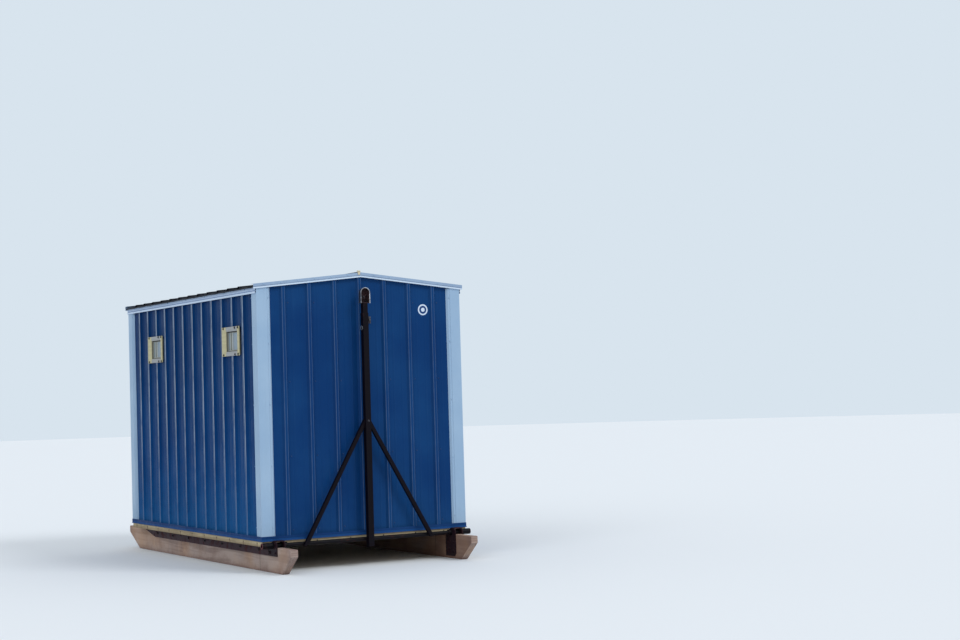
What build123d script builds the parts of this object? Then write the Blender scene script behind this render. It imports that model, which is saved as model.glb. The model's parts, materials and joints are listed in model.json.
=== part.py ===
from build123d import *
import math
import os

os.makedirs("parts", exist_ok=True)

# All sizes in millimetres. +X right along the front gable, +Y to the rear, +Z up from the skid soles.
hut_width = 1867.0
hut_length = 3120.0
half_w = hut_width / 2
half_l = hut_length / 2

# Running gear
skid_height = 203.0
skid_thick = 62.0
skid_inset = 91.0
skid_overhang = 350.0
skid_arris = 4.0
nose_face = 57.0
front_chamfer = 180.0
rear_chamfer = 280.0
rail_thick = 8.0
rail_leg = 76.0
rail_flange = 64.0
rail_root = 6.0
rail_end_gap = 80.0
rail_taper = 300.0

# Floor
rim_height = 46.0
rim_thick = 38.0
rim_recess = 4.0
joist_width = 89.0
joist_count = 7
deck_thick = 18.0

# Ribbed sheet: tall ribs with two low stiffening ribs in each bay
rib_pitch = 228.6
rib_height = 19.0
rib_base = 30.0
rib_crest = 12.0
rib_tuck = 0.8
bead_height = 2.5
bead_base = 11.0
bead_margin = 130.0
sheet_thick = 1.5
sheet_drop = 9.0
front_rib_start = -696.5
side_rib_start = -1249.0
front_rib_count = 7
side_rib_count = 12

# Walls and folded trims
wall_thick = 64.0
trim_thick = 1.5
seat_gap = 0.3
front_leg = 123.0
side_leg = 125.0
leg_hem = 14.0
leg_bead = 14.0
leg_step = 5.0
base_lip = 33.0
base_kick = 5.0
fascia_proud = 9.0
fascia_depth = 55.0
fascia_lip = 20.0
fascia_step = 2.0
groove_depth = 5.0
groove_width = 3.5
rake_proud = 9.0
rake_cover = 45.0
rake_face = 24.0
rake_step = 2.0
rake_fold = 4.0
rake_kick = 12.5
rake_return = 1.5
rake_overhang = 26.0

# Roof
roof_slope = 1.25 / 12
roof_board = 38.0
eave_height = 2033.0
sheet_overhang = 24.0
eave_hem = 9.0
ridge_gap = 6.0
cap_half = 75.0
cap_bead = 14.0
cap_rise = 8.0
cap_slant = 5.0
cap_crown = 1.0

# Windows
window_width = 374.0
window_height = 241.0
window_sill = 1493.0
window_shift = 12.0
window_board = 8.0
pane_width = 236.0
pane_height = 166.0
pane_shift = 12.0
frame_bevel = 20.0
bevel_depth = 4.0
jamb_thick = 12.0
sash_width = 12.0
sash_thick = 8.0
sash_depth = 16.0
stile_width = 16.0
stile_shift = 54.0
glass_thick = 4.0
cut_gap = 0.5
front_window_rib = 1
rear_window_rib = 9

# Rear door
door_width = 690.0
door_height = 1690.0
door_rise = 40.0
door_jamb = 22.0
casing_width = 60.0
leaf_thick = 44.0
leaf_proud = 20.0
leaf_gap = 0.2
hinge_radius = 7.0
hinge_length = 90.0
hinge_spacing = 620.0
rose_radius = 26.0
rose_thick = 8.0
neck_radius = 9.0
neck_length = 34.0
lever_length = 110.0
lever_width = 18.0
lever_thick = 12.0
handle_height = 900.0
handle_inset = 62.0

# Drawbar, folded up against the front gable, a little left of the middle
drawbar_shift = -8.0
pipe_radius = 16.7
pipe_wall = 3.4
sleeve_radius = 24.15
sleeve_lead = 30.0
pipe_sink = 8.0
pipe_ahead = 28.0
pipe_overhang = 16.5
pivot_clearance = 0.05
saddle_clearance = 3.0
weld_gap = 0.3
mast_side = 50.8
mast_wall = 3.2
mast_round = 4.0
mast_foot = 58.0
mast_length = 1908.85
inner_side = 44.0
inner_wall = 4.0
inner_round = 3.0
inner_engage = 260.0
shank_length = 80.0
coupler_width = 76.0
coupler_depth = 54.0
coupler_length = 125.0
coupler_wall = 4.0
coupler_bevel = 8.0
lip_width = 5.0
lip_thick = 3.0
ball_radius = 25.5
clamp_width = 34.0
clamp_depth = 14.0
clamp_height = 22.0
brace_side = 30.0
brace_wall = 3.0
brace_spread = 576.0
brace_rise = 964.0
brace_drop = 16.0
pin_radius = 8.0
pin_head_radius = 20.0
pin_head_thick = 5.0
pin_tail = 8.0
pin_clearance = 0.3
pin_below_top = 123.0

# Brackets that hold the pipe, and the keeper that holds the mast
bracket_plate = 8.0
cheek_ahead = 67.0
cheek_behind = 98.0
cheek_low = 22.0
cheek_cap = 16.0
cheek_cut = 24.0
rim_clearance = 2.0
drip_clearance = 8.0
keeper_plate = 5.0
keeper_arm = 95.0
keeper_gap = 11.0
keeper_flange = 62.0
keeper_height = 57.0
keeper_below_top = 82.0

# Levels and planes worked out from the sizes above
skid_top = skid_height
rim_base = skid_top + rail_thick
siding_base = rim_base + rim_height
sheet_base = siding_base + trim_thick
deck_top = siding_base + deck_thick
eave_z = siding_base + eave_height
roof_rise = half_w * roof_slope
crest_x = half_w - trim_thick
crest_y = half_l - trim_thick
flat_x = crest_x - rib_height
flat_y = crest_y - rib_height
core_x = flat_x - sheet_thick
core_y = flat_y - sheet_thick
room_x = core_x - wall_thick
room_y = core_y - wall_thick
rib_top = sheet_thick + rib_height
bead_top = sheet_thick + bead_height
slope_cos = 1 / math.sqrt(1 + roof_slope * roof_slope)
window_z = siding_base + window_sill + window_height / 2
window_ys = [side_rib_start + rib_pitch * i for i in (front_window_rib, rear_window_rib)]
pane_spots = [(y - pane_shift, window_z) for y in window_ys]
door_base = deck_top + door_rise
door_mid = door_base + door_height / 2
casing_low = door_base - door_jamb
casing_high = door_base + door_height + casing_width
casing_mid = (casing_low + casing_high) / 2
pipe_y = -half_l - pipe_ahead
pipe_z = skid_top + sleeve_radius - pipe_sink
pipe_half = half_w + pipe_overhang
mast_back = pipe_y - pipe_radius - weld_gap
mast_y = mast_back - mast_side / 2
mast_low = pipe_z - mast_foot
mast_high = mast_low + mast_length
coupler_z = mast_high + shank_length


def roof_line(x, drop=0.0):
    """Height of the roof sheet's flat underside over the point x, less a drop."""
    return eave_z + (half_w - abs(x)) * roof_slope - drop


def ribbed(first, count, low_end, high_end):
    """Outline of a ribbed sheet: back at zero, ribs out along the second axis, low beads solid."""
    outer = [(low_end, sheet_thick)]
    inner = [(low_end, 0)]
    for i in range(-3, 3 * count + 3):
        u = first + rib_pitch * i / 3
        tall = i % 3 == 0
        if tall and not 0 <= i < 3 * count:
            continue
        if u < low_end + bead_margin or u > high_end - bead_margin:
            continue
        if tall:
            outer += [(u - rib_base, sheet_thick), (u - rib_crest, rib_top)]
            outer += [(u + rib_crest, rib_top), (u + rib_base, sheet_thick)]
            inner += [(u - rib_base + rib_tuck, 0), (u - rib_crest + rib_tuck, rib_height)]
            inner += [(u + rib_crest - rib_tuck, rib_height), (u + rib_base - rib_tuck, 0)]
        else:
            outer += [(u - bead_base, sheet_thick), (u, bead_top), (u + bead_base, sheet_thick)]
    outer += [(high_end, sheet_thick)]
    inner += [(high_end, 0)]
    return outer + inner[::-1]


def folded(points, thick, side=Side.RIGHT):
    """Section of a folded sheet: a line given a thickness on one side."""
    with BuildSketch() as section:
        with BuildLine():
            Polyline(*points)
            offset(amount=thick, side=side, kind=Kind.INTERSECTION)
        make_face()
    return section.sketch


def gable_strip(half, top_drop, depth):
    """Outline that follows both roof slopes, as points in X and Z."""
    top = [(x, roof_line(x, top_drop)) for x in (-half, 0, half)]
    low = [(x, z - depth) for x, z in top]
    return top + low[::-1]


def slope_plane(side, y=0.0):
    """Plane across a roof slope at the ridge: first axis along Y, second up off the roof."""
    down = Vector(side, 0, -roof_slope).normalized()
    return Plane(origin=(0, y, roof_line(0)), x_dir=(0, side, 0), z_dir=down)


def save(builder, name):
    """Label the finished piece and write its STEP file."""
    builder.part.label = name
    export_step(builder.part, f"parts/{name}.step")


# Skids: planks on edge, both noses cut back underneath, a saddle for the pivot pipe across the top
skid_x = half_w - skid_inset - skid_thick / 2
skid_end = half_l + skid_overhang
with BuildPart() as skid_right:
    with BuildSketch(Plane.YZ.offset(skid_x - skid_thick / 2)):
        with BuildLine():
            Polyline(
                (-skid_end, skid_top),
                (-skid_end, skid_top - nose_face),
                (-skid_end + front_chamfer, 0),
                (skid_end - rear_chamfer, 0),
                (skid_end, skid_top - nose_face),
                (skid_end, skid_top),
                close=True,
            )
        make_face()
    extrude(amount=skid_thick)
    chamfer(skid_right.edges().filter_by(Axis.Y), length=skid_arris)
    with BuildSketch(Plane.YZ.offset(skid_x - skid_thick)):
        with Locations((pipe_y, pipe_z)):
            Circle(sleeve_radius + saddle_clearance)
    extrude(amount=2 * skid_thick, mode=Mode.SUBTRACT)
save(skid_right, "skid_right")

with BuildPart() as skid_left:
    add(mirror(skid_right.part, about=Plane.YZ))
save(skid_left, "skid_left")

# Steel angles over the top outer edge of each skid, run out to a slant at the rear
rail_x = half_w - skid_inset + rail_thick
rail_end = half_l - rail_end_gap
with BuildPart() as rail_right:
    with BuildSketch(Plane.XZ.offset(-rail_end)):
        with BuildLine():
            Polyline(
                (rail_x, rim_base),
                (rail_x, rim_base - rail_leg),
                (rail_x - rail_thick, rim_base - rail_leg),
                (rail_x - rail_thick, skid_top),
                (rail_x - rail_flange, skid_top),
                (rail_x - rail_flange, rim_base),
                close=True,
            )
        make_face()
    extrude(amount=2 * rail_end)
    outer_top = rail_right.edges().filter_by(Axis.Y).group_by(Axis.Z)[-1].sort_by(Axis.X)[-1]
    fillet(outer_top, radius=rail_root)
    with BuildSketch(Plane.YZ.offset(rail_x - rail_thick)):
        with BuildLine():
            Polyline(
                (rail_end, rim_base - rail_leg),
                (rail_end, rim_base - rail_thick),
                (rail_end - rail_taper, rim_base - rail_leg),
                close=True,
            )
        make_face()
    extrude(amount=rail_thick, mode=Mode.SUBTRACT)
save(rail_right, "rail_right")

with BuildPart() as rail_left:
    add(mirror(rail_right.part, about=Plane.YZ))
save(rail_left, "rail_left")

# Pivot brackets: a long inner cheek, a short outer one and a bridge over the pipe
cheek_front = pipe_y - cheek_ahead
cheek_rear = pipe_y + cheek_behind
cheek_step = -half_l + rim_recess - rim_clearance
cheek_high = pipe_z + sleeve_radius + cheek_cap
cheek_shoulder = siding_base - base_kick - drip_clearance
bracket_half = skid_thick / 2 + bracket_plate
with BuildPart() as bracket_right:
    with BuildSketch(Plane.YZ.offset(skid_x - bracket_half)):
        with BuildLine():
            Polyline(
                (cheek_front, cheek_low),
                (cheek_rear, cheek_low),
                (cheek_rear, skid_top - rail_root),
                (cheek_step, skid_top - rail_root),
                (cheek_step, cheek_shoulder),
                (pipe_y, cheek_high),
                (cheek_front, cheek_high),
                close=True,
            )
        make_face()
    extrude(amount=2 * bracket_half)
    front_corners = bracket_right.edges().filter_by(Axis.X).group_by(Axis.Y)[0]
    chamfer(front_corners, length=cheek_cut)
    with BuildSketch(Plane.YZ.offset(skid_x - skid_thick / 2)):
        with Locations((pipe_y, (cheek_high - bracket_plate) / 2)):
            Rectangle(2 * (cheek_ahead + cheek_behind), cheek_high - bracket_plate)
    extrude(amount=skid_thick, mode=Mode.SUBTRACT)
    with BuildSketch(Plane.YZ.offset(skid_x + skid_thick / 2)):
        with Locations((pipe_y, (rim_base - rail_leg) / 2)):
            Rectangle(2 * (cheek_ahead + cheek_behind), rim_base - rail_leg)
    extrude(amount=bracket_plate, mode=Mode.SUBTRACT)
    with BuildSketch(Plane.YZ.offset(skid_x - bracket_half)):
        with Locations((pipe_y, pipe_z)):
            Circle(sleeve_radius + pivot_clearance)
    extrude(amount=2 * bracket_half, mode=Mode.SUBTRACT)
save(bracket_right, "bracket_right")

with BuildPart() as bracket_left:
    add(mirror(bracket_right.part, about=Plane.YZ))
save(bracket_left, "bracket_left")

# Floor frame of planks laid flat with cross joists, and the deck on it
rim_x = half_w - rim_recess
rim_y = half_l - rim_recess
bay_x = rim_x - rim_thick
bay_y = rim_y - rim_thick
joist_step = 2 * bay_y / (joist_count + 1)
with BuildPart() as floor_frame:
    with BuildSketch(Plane.XY.offset(rim_base)):
        Rectangle(2 * rim_x, 2 * rim_y)
        Rectangle(2 * bay_x, 2 * bay_y, mode=Mode.SUBTRACT)
        with GridLocations(1, joist_step, 1, joist_count):
            Rectangle(2 * bay_x, joist_width)
    extrude(amount=rim_height)
save(floor_frame, "floor_frame")

with BuildPart() as floor_deck:
    with BuildSketch(Plane.XY.offset(siding_base)):
        Rectangle(2 * core_x, 2 * core_y)
    extrude(amount=deck_thick)
save(floor_deck, "floor_deck")

# Gable wall cores, the rear one open for the door
for name, side in (("wall_front", -1), ("wall_rear", 1)):
    with BuildPart() as wall:
        with BuildSketch(Plane.XZ.offset(-side * core_y)):
            with BuildLine():
                Polyline(
                    (-core_x, deck_top),
                    (core_x, deck_top),
                    (core_x, roof_line(core_x, roof_board)),
                    (0, roof_line(0, roof_board)),
                    (-core_x, roof_line(core_x, roof_board)),
                    close=True,
                )
            make_face()
            if side > 0:
                with Locations((0, door_mid)):
                    Rectangle(door_width + 2 * door_jamb, door_height + 2 * door_jamb, mode=Mode.SUBTRACT)
        extrude(amount=side * wall_thick)
    save(wall, name)

# Side wall cores with the window openings cut through
with BuildPart() as wall_left:
    with BuildSketch(Plane.XZ.offset(-room_y)):
        with BuildLine():
            Polyline(
                (-core_x, deck_top),
                (-room_x, deck_top),
                (-room_x, roof_line(room_x, roof_board)),
                (-core_x, roof_line(core_x, roof_board)),
                close=True,
            )
        make_face()
    extrude(amount=2 * room_y)
    with BuildSketch(Plane.YZ.offset(-core_x)):
        with Locations(*pane_spots):
            Rectangle(pane_width + 2 * jamb_thick, pane_height + 2 * jamb_thick)
    extrude(amount=wall_thick, mode=Mode.SUBTRACT)
save(wall_left, "wall_left")

with BuildPart() as wall_right:
    add(mirror(wall_left.part, about=Plane.YZ))
save(wall_right, "wall_right")

# Ribbed side sheets, cut out where the window jambs pass
side_outline = ribbed(side_rib_start, side_rib_count, -core_y, core_y)
with BuildPart() as siding_left:
    with BuildSketch(Plane.XY.offset(sheet_base)):
        with BuildLine():
            Polyline(*[(-core_x - v, u) for u, v in side_outline], close=True)
        make_face()
    extrude(amount=roof_line(half_w, sheet_drop) - sheet_base)
    with BuildSketch(Plane.YZ.offset(-half_w)):
        with Locations(*pane_spots):
            Rectangle(pane_width + 2 * (jamb_thick + cut_gap), pane_height + 2 * (jamb_thick + cut_gap))
    extrude(amount=wall_thick, mode=Mode.SUBTRACT)
save(siding_left, "siding_left")

with BuildPart() as siding_right:
    add(mirror(siding_left.part, about=Plane.YZ))
save(siding_right, "siding_right")

# Ribbed gable sheets, trimmed to the roof slopes, the rear one cut out round the door casing
gable_outline = ribbed(front_rib_start, front_rib_count, -core_x, core_x)
for name, side in (("siding_front", -1), ("siding_rear", 1)):
    with BuildPart() as gable:
        with BuildSketch(Plane.XY.offset(sheet_base)):
            with BuildLine():
                Polyline(*[(u, side * (core_y + v)) for u, v in gable_outline], close=True)
            make_face()
        extrude(amount=roof_line(0) - sheet_base)
        with BuildSketch(Plane.XZ.offset(-side * core_y)):
            with BuildLine():
                Polyline(*gable_strip(half_w, -roof_rise, roof_rise + sheet_drop), close=True)
            make_face()
            if side > 0:
                with Locations((0, casing_mid)):
                    Rectangle(door_width + 2 * casing_width + 1, casing_high - casing_low + 1)
        extrude(amount=-side * (half_l - core_y), mode=Mode.SUBTRACT)
    save(gable, name)

# Base flashing: a J section swept round the hut, its lip over the sheets and a kicked drip edge
with BuildPart() as base_trim:
    with BuildLine() as base_loop:
        Polyline(
            (half_w, 0, siding_base),
            (half_w, half_l, siding_base),
            (-half_w, half_l, siding_base),
            (-half_w, -half_l, siding_base),
            (half_w, -half_l, siding_base),
            close=True,
        )
    with BuildSketch(Plane.XZ):
        with BuildLine():
            Polyline(
                (core_x, siding_base),
                (half_w + trim_thick, siding_base),
                (half_w + base_kick, siding_base - base_kick),
                (half_w + base_kick + trim_thick, siding_base - base_kick + 1),
                (half_w + 2 * trim_thick, siding_base + 2 * trim_thick),
                (half_w + 2 * trim_thick, sheet_base + base_lip),
                (half_w + seat_gap, sheet_base + base_lip),
                (half_w + seat_gap, sheet_base),
                (core_x, sheet_base),
                close=True,
            )
        make_face()
    sweep(path=base_loop.line, transition=Transition.RIGHT)
save(base_trim, "base_trim")

# Corner trims, folded once at the corner, with a bead and a hem along each edge
leg_in = leg_hem + leg_bead
corner_path = [
    (half_w - front_leg, flat_y + seat_gap),
    (half_w - front_leg + leg_hem, crest_y - leg_step),
    (half_w - front_leg + leg_in, crest_y - leg_step),
    (half_w - front_leg + leg_in + leg_step, crest_y),
    (crest_x, crest_y),
    (crest_x, half_l - side_leg + leg_in + leg_step),
    (crest_x - leg_step, half_l - side_leg + leg_in),
    (crest_x - leg_step, half_l - side_leg + leg_hem),
    (flat_x + seat_gap, half_l - side_leg),
]
with BuildPart() as corner_rear_right:
    with BuildSketch(Plane.XY.offset(sheet_base)):
        add(folded(corner_path, trim_thick, Side.LEFT))
    extrude(amount=roof_line(half_w, sheet_drop) - sheet_base)
save(corner_rear_right, "corner_rear_right")

with BuildPart() as corner_rear_left:
    add(mirror(corner_rear_right.part, about=Plane.YZ))
save(corner_rear_left, "corner_rear_left")

with BuildPart() as corner_front_right:
    add(mirror(corner_rear_right.part, about=Plane.XZ))
save(corner_front_right, "corner_front_right")

with BuildPart() as corner_front_left:
    add(mirror(corner_rear_left.part, about=Plane.XZ))
save(corner_front_left, "corner_front_left")

# Roof boards on the wall tops
with BuildPart() as roof_deck:
    with BuildSketch(Plane.XZ.offset(core_y)):
        with BuildLine():
            Polyline(*gable_strip(core_x, 0, roof_board), close=True)
        make_face()
    extrude(amount=-2 * core_y)
save(roof_deck, "roof_deck")

# Ribbed roof sheets, ribs running down each slope, with a hem turned down along the eave
eave_x = half_w + sheet_overhang
eave_low = roof_line(eave_x) - eave_hem
roof_outline = ribbed(side_rib_start, side_rib_count, -crest_y, crest_y)
slope_run = eave_x / slope_cos + rib_top
with BuildPart() as roof_sheet_right:
    with BuildSketch(slope_plane(1)):
        with BuildLine():
            Polyline(*roof_outline, close=True)
        make_face()
    extrude(amount=slope_run)
    split(bisect_by=Plane.YZ.offset(ridge_gap), keep=Keep.TOP)
    split(bisect_by=Plane.YZ.offset(eave_x), keep=Keep.BOTTOM)
    with BuildSketch(Plane.XZ.offset(crest_y)):
        with Locations((eave_x - sheet_thick / 2, (eave_low + roof_line(eave_x) + sheet_thick) / 2)):
            Rectangle(sheet_thick, eave_hem + sheet_thick)
    extrude(amount=-2 * crest_y)
save(roof_sheet_right, "roof_sheet_right")

with BuildPart() as roof_sheet_left:
    add(mirror(roof_sheet_right.part, about=Plane.YZ))
save(roof_sheet_left, "roof_sheet_left")

# Eave fascias with a groove and a lower lip, folded back to the wall
groove_top = fascia_depth - fascia_lip - groove_width
fascia_x = half_w + fascia_proud
fascia_path = [
    (fascia_x, roof_line(fascia_x, seat_gap)),
    (fascia_x, roof_line(half_w, groove_top)),
    (fascia_x - groove_depth, roof_line(half_w, groove_top + groove_width)),
    (fascia_x + fascia_step, roof_line(half_w, groove_top + 2 * groove_width)),
    (fascia_x + fascia_step, roof_line(half_w, fascia_depth)),
    (half_w + seat_gap, roof_line(half_w, fascia_depth)),
]
with BuildPart() as fascia_right:
    with BuildSketch(Plane.XZ.offset(half_l)):
        add(folded(fascia_path, trim_thick))
    extrude(amount=-2 * half_l)
save(fascia_right, "fascia_right")

with BuildPart() as fascia_left:
    add(mirror(fascia_right.part, about=Plane.YZ))
save(fascia_left, "fascia_left")

# Rake trims: a flange over the roof ribs, a face down the gable and a kicked lower edge
flange_level = rib_top + trim_thick + seat_gap
rake_path = [
    (-rake_cover, flange_level),
    (rake_proud, flange_level),
    (rake_proud, flange_level - rake_face),
    (rake_proud - rake_fold, flange_level - rake_face - rake_step),
    (rake_proud + rake_step, flange_level - rake_face - rake_step - rake_kick),
    (seat_gap, flange_level - rake_face - rake_step - rake_kick - rake_return),
]
with BuildPart() as rake_trim_rear:
    with BuildSketch(slope_plane(1, half_l)):
        add(folded(rake_path, trim_thick))
    extrude(amount=-2 * flange_level)
    eave_end = rake_trim_rear.faces().sort_by(Axis.X)[-1]
    extrude(eave_end, amount=(half_w + rake_overhang) / slope_cos + flange_level)
    split(bisect_by=Plane.YZ, keep=Keep.TOP)
    split(bisect_by=Plane.YZ.offset(half_w + rake_overhang), keep=Keep.BOTTOM)
    mirror(about=Plane.YZ)
save(rake_trim_rear, "rake_trim_rear")

with BuildPart() as rake_trim_front:
    add(mirror(rake_trim_rear.part, about=Plane.XZ))
save(rake_trim_front, "rake_trim_front")

# Ridge cap: flat wings on the rib crests and a raised bead along the middle
cap_level = rib_top / slope_cos + seat_gap + trim_thick
cap_points = [(cap_half, 0), (cap_bead + cap_slant, 0), (cap_bead, cap_rise), (0, cap_rise + cap_crown)]
cap_right = [(x, roof_line(x) + cap_level + rise) for x, rise in cap_points]
cap_left = [(-x, z) for x, z in cap_right[:-1]]
cap_half_l = half_l - rake_cover - seat_gap
with BuildPart() as ridge_cap:
    with BuildSketch(Plane.XZ.offset(cap_half_l)):
        add(folded(cap_left + cap_right[::-1], trim_thick))
    extrude(amount=-2 * cap_half_l)
save(ridge_cap, "ridge_cap")

# Windows: a bevelled board over the rib crests, a jamb through the wall, a sash with a stile
board_x = crest_x + window_board
sash_x = board_x - sash_depth
glass_x = sash_x - sash_thick
for side, hand in ((-1, "left"), (1, "right")):
    for y, place in zip(window_ys, ("front", "rear")):
        with BuildPart() as window:
            with BuildSketch(Plane.YZ.offset(side * board_x)):
                with Locations((y + window_shift, window_z)):
                    Rectangle(window_width, window_height)
                with Locations((y - pane_shift, window_z)):
                    Rectangle(pane_width, pane_height, mode=Mode.SUBTRACT)
            extrude(amount=-side * window_board)
            board_face = window.faces().sort_by(Axis.X)[-1 if side > 0 else 0]
            pane_rim = board_face.inner_wires()[0].edges()
            chamfer(pane_rim, length=frame_bevel, length2=bevel_depth, reference=board_face)
            board_face = window.faces().sort_by(Axis.X)[-1 if side > 0 else 0]
            chamfer(board_face.outer_wire().edges(), length=window_board / 4)
            with BuildSketch(Plane.YZ.offset(side * crest_x)):
                with Locations((y - pane_shift, window_z)):
                    Rectangle(pane_width + 2 * jamb_thick, pane_height + 2 * jamb_thick)
                    Rectangle(pane_width, pane_height, mode=Mode.SUBTRACT)
            extrude(amount=-side * (crest_x - room_x))
            with BuildSketch(Plane.YZ.offset(side * sash_x)):
                with Locations((y - pane_shift, window_z)):
                    Rectangle(pane_width, pane_height)
                    Rectangle(pane_width - 2 * sash_width, pane_height - 2 * sash_width, mode=Mode.SUBTRACT)
                with Locations((y - pane_shift + stile_shift, window_z)):
                    Rectangle(stile_width, pane_height)
            extrude(amount=-side * sash_thick)
        save(window, f"window_{hand}_{place}")

    with BuildPart() as glass:
        with BuildSketch(Plane.YZ.offset(side * glass_x)):
            with Locations(*pane_spots):
                Rectangle(pane_width - 2 * seat_gap, pane_height - 2 * seat_gap)
        extrude(amount=-side * glass_thick)
    save(glass, f"glass_{hand}")

# Rear door: a jamb through the wall with a casing outside and hinge knuckles on it
casing_y = crest_y + window_board
hinge_x = door_width / 2 + hinge_radius
with BuildPart() as door_frame:
    with BuildSketch(Plane.XZ.offset(-room_y)):
        with Locations((0, door_mid)):
            Rectangle(door_width + 2 * door_jamb, door_height + 2 * door_jamb)
            Rectangle(door_width, door_height, mode=Mode.SUBTRACT)
    extrude(amount=-wall_thick)
    with BuildSketch(Plane.XZ.offset(-core_y)):
        with Locations((0, casing_mid)):
            Rectangle(door_width + 2 * casing_width, casing_high - casing_low)
        with Locations((0, door_mid)):
            Rectangle(door_width, door_height, mode=Mode.SUBTRACT)
    extrude(amount=-(casing_y - core_y))
    for step in (-1, 0, 1):
        with Locations((hinge_x, casing_y, door_mid + step * hinge_spacing)):
            Cylinder(hinge_radius, hinge_length)
save(door_frame, "door_frame")

# Door leaf with a lever handle
leaf_face = core_y + leaf_proud
handle_x = -door_width / 2 + handle_inset
handle_z = door_base + handle_height
with BuildPart() as door_leaf:
    with BuildSketch(Plane.XZ.offset(-leaf_face)):
        with Locations((0, door_mid)):
            Rectangle(door_width - 2 * leaf_gap, door_height - 2 * leaf_gap)
    extrude(amount=leaf_thick)
    with BuildSketch(Plane.XZ.offset(-leaf_face)):
        with Locations((handle_x, handle_z)):
            Circle(rose_radius)
    extrude(amount=-rose_thick)
    with BuildSketch(Plane.XZ.offset(-leaf_face)):
        with Locations((handle_x, handle_z)):
            Circle(neck_radius)
    extrude(amount=-(rose_thick + neck_length))
    with BuildSketch(Plane.XZ.offset(-(leaf_face + rose_thick + neck_length - lever_thick))):
        with Locations((handle_x + lever_length / 2 - lever_width / 2, handle_z)):
            SlotOverall(lever_length, lever_width)
    extrude(amount=-lever_thick)
save(door_leaf, "door_leaf")

# Drawbar pivot: a pipe with a thick sleeve at each end that turns in the brackets
sleeve_length = pipe_half - skid_x + bracket_half + sleeve_lead
with BuildPart() as pivot_pipe:
    with BuildSketch(Plane.YZ.offset(-pipe_half)):
        with Locations((pipe_y, pipe_z)):
            Circle(pipe_radius)
    extrude(amount=2 * pipe_half)
    with BuildSketch(Plane.YZ.offset(-pipe_half), Plane.YZ.offset(pipe_half - sleeve_length)):
        with Locations((pipe_y, pipe_z)):
            Circle(sleeve_radius)
    extrude(amount=sleeve_length)
    with BuildSketch(Plane.YZ.offset(-pipe_half)):
        with Locations((pipe_y, pipe_z)):
            Circle(pipe_radius - pipe_wall)
    extrude(amount=2 * pipe_half, mode=Mode.SUBTRACT)
save(pivot_pipe, "pivot_pipe")

# Planes through the middle of the drawbar
drawbar_level = Plane(origin=(drawbar_shift, 0, 0), x_dir=(1, 0, 0), z_dir=(0, 0, 1))
drawbar_front = Plane(origin=(drawbar_shift, 0, 0), x_dir=(1, 0, 0), z_dir=(0, -1, 0))
drawbar_side = Plane.YZ.offset(drawbar_shift)

# Mast tube welded to the front of the pipe, cross drilled for the hitch pin
pin_z = mast_high - pin_below_top
mast_bore = mast_side - 2 * mast_wall
with BuildPart() as mast:
    with BuildSketch(drawbar_level.offset(mast_low)):
        with Locations((0, mast_y)):
            RectangleRounded(mast_side, mast_side, mast_round)
            Rectangle(mast_bore, mast_bore, mode=Mode.SUBTRACT)
    extrude(amount=mast_length)
    with BuildSketch(drawbar_side.offset(-mast_side)):
        with Locations((mast_y, pin_z)):
            Circle(pin_radius + pin_clearance)
    extrude(amount=2 * mast_side, mode=Mode.SUBTRACT)
save(mast, "mast")

# Inner tube that slides in the mast and carries the coupler
inner_low = mast_high - inner_engage
inner_bore = inner_side - 2 * inner_wall
inner_high = coupler_z + 2 * coupler_wall
with BuildPart() as inner_tube:
    with BuildSketch(drawbar_level.offset(inner_low)):
        with Locations((0, mast_y)):
            RectangleRounded(inner_side, inner_side, inner_round)
            Rectangle(inner_bore, inner_bore, mode=Mode.SUBTRACT)
    extrude(amount=inner_high - inner_low)
    with BuildSketch(drawbar_side.offset(-mast_side)):
        with Locations((mast_y, pin_z)):
            Circle(pin_radius + pin_clearance)
    extrude(amount=2 * mast_side, mode=Mode.SUBTRACT)
save(inner_tube, "inner_tube")

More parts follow.
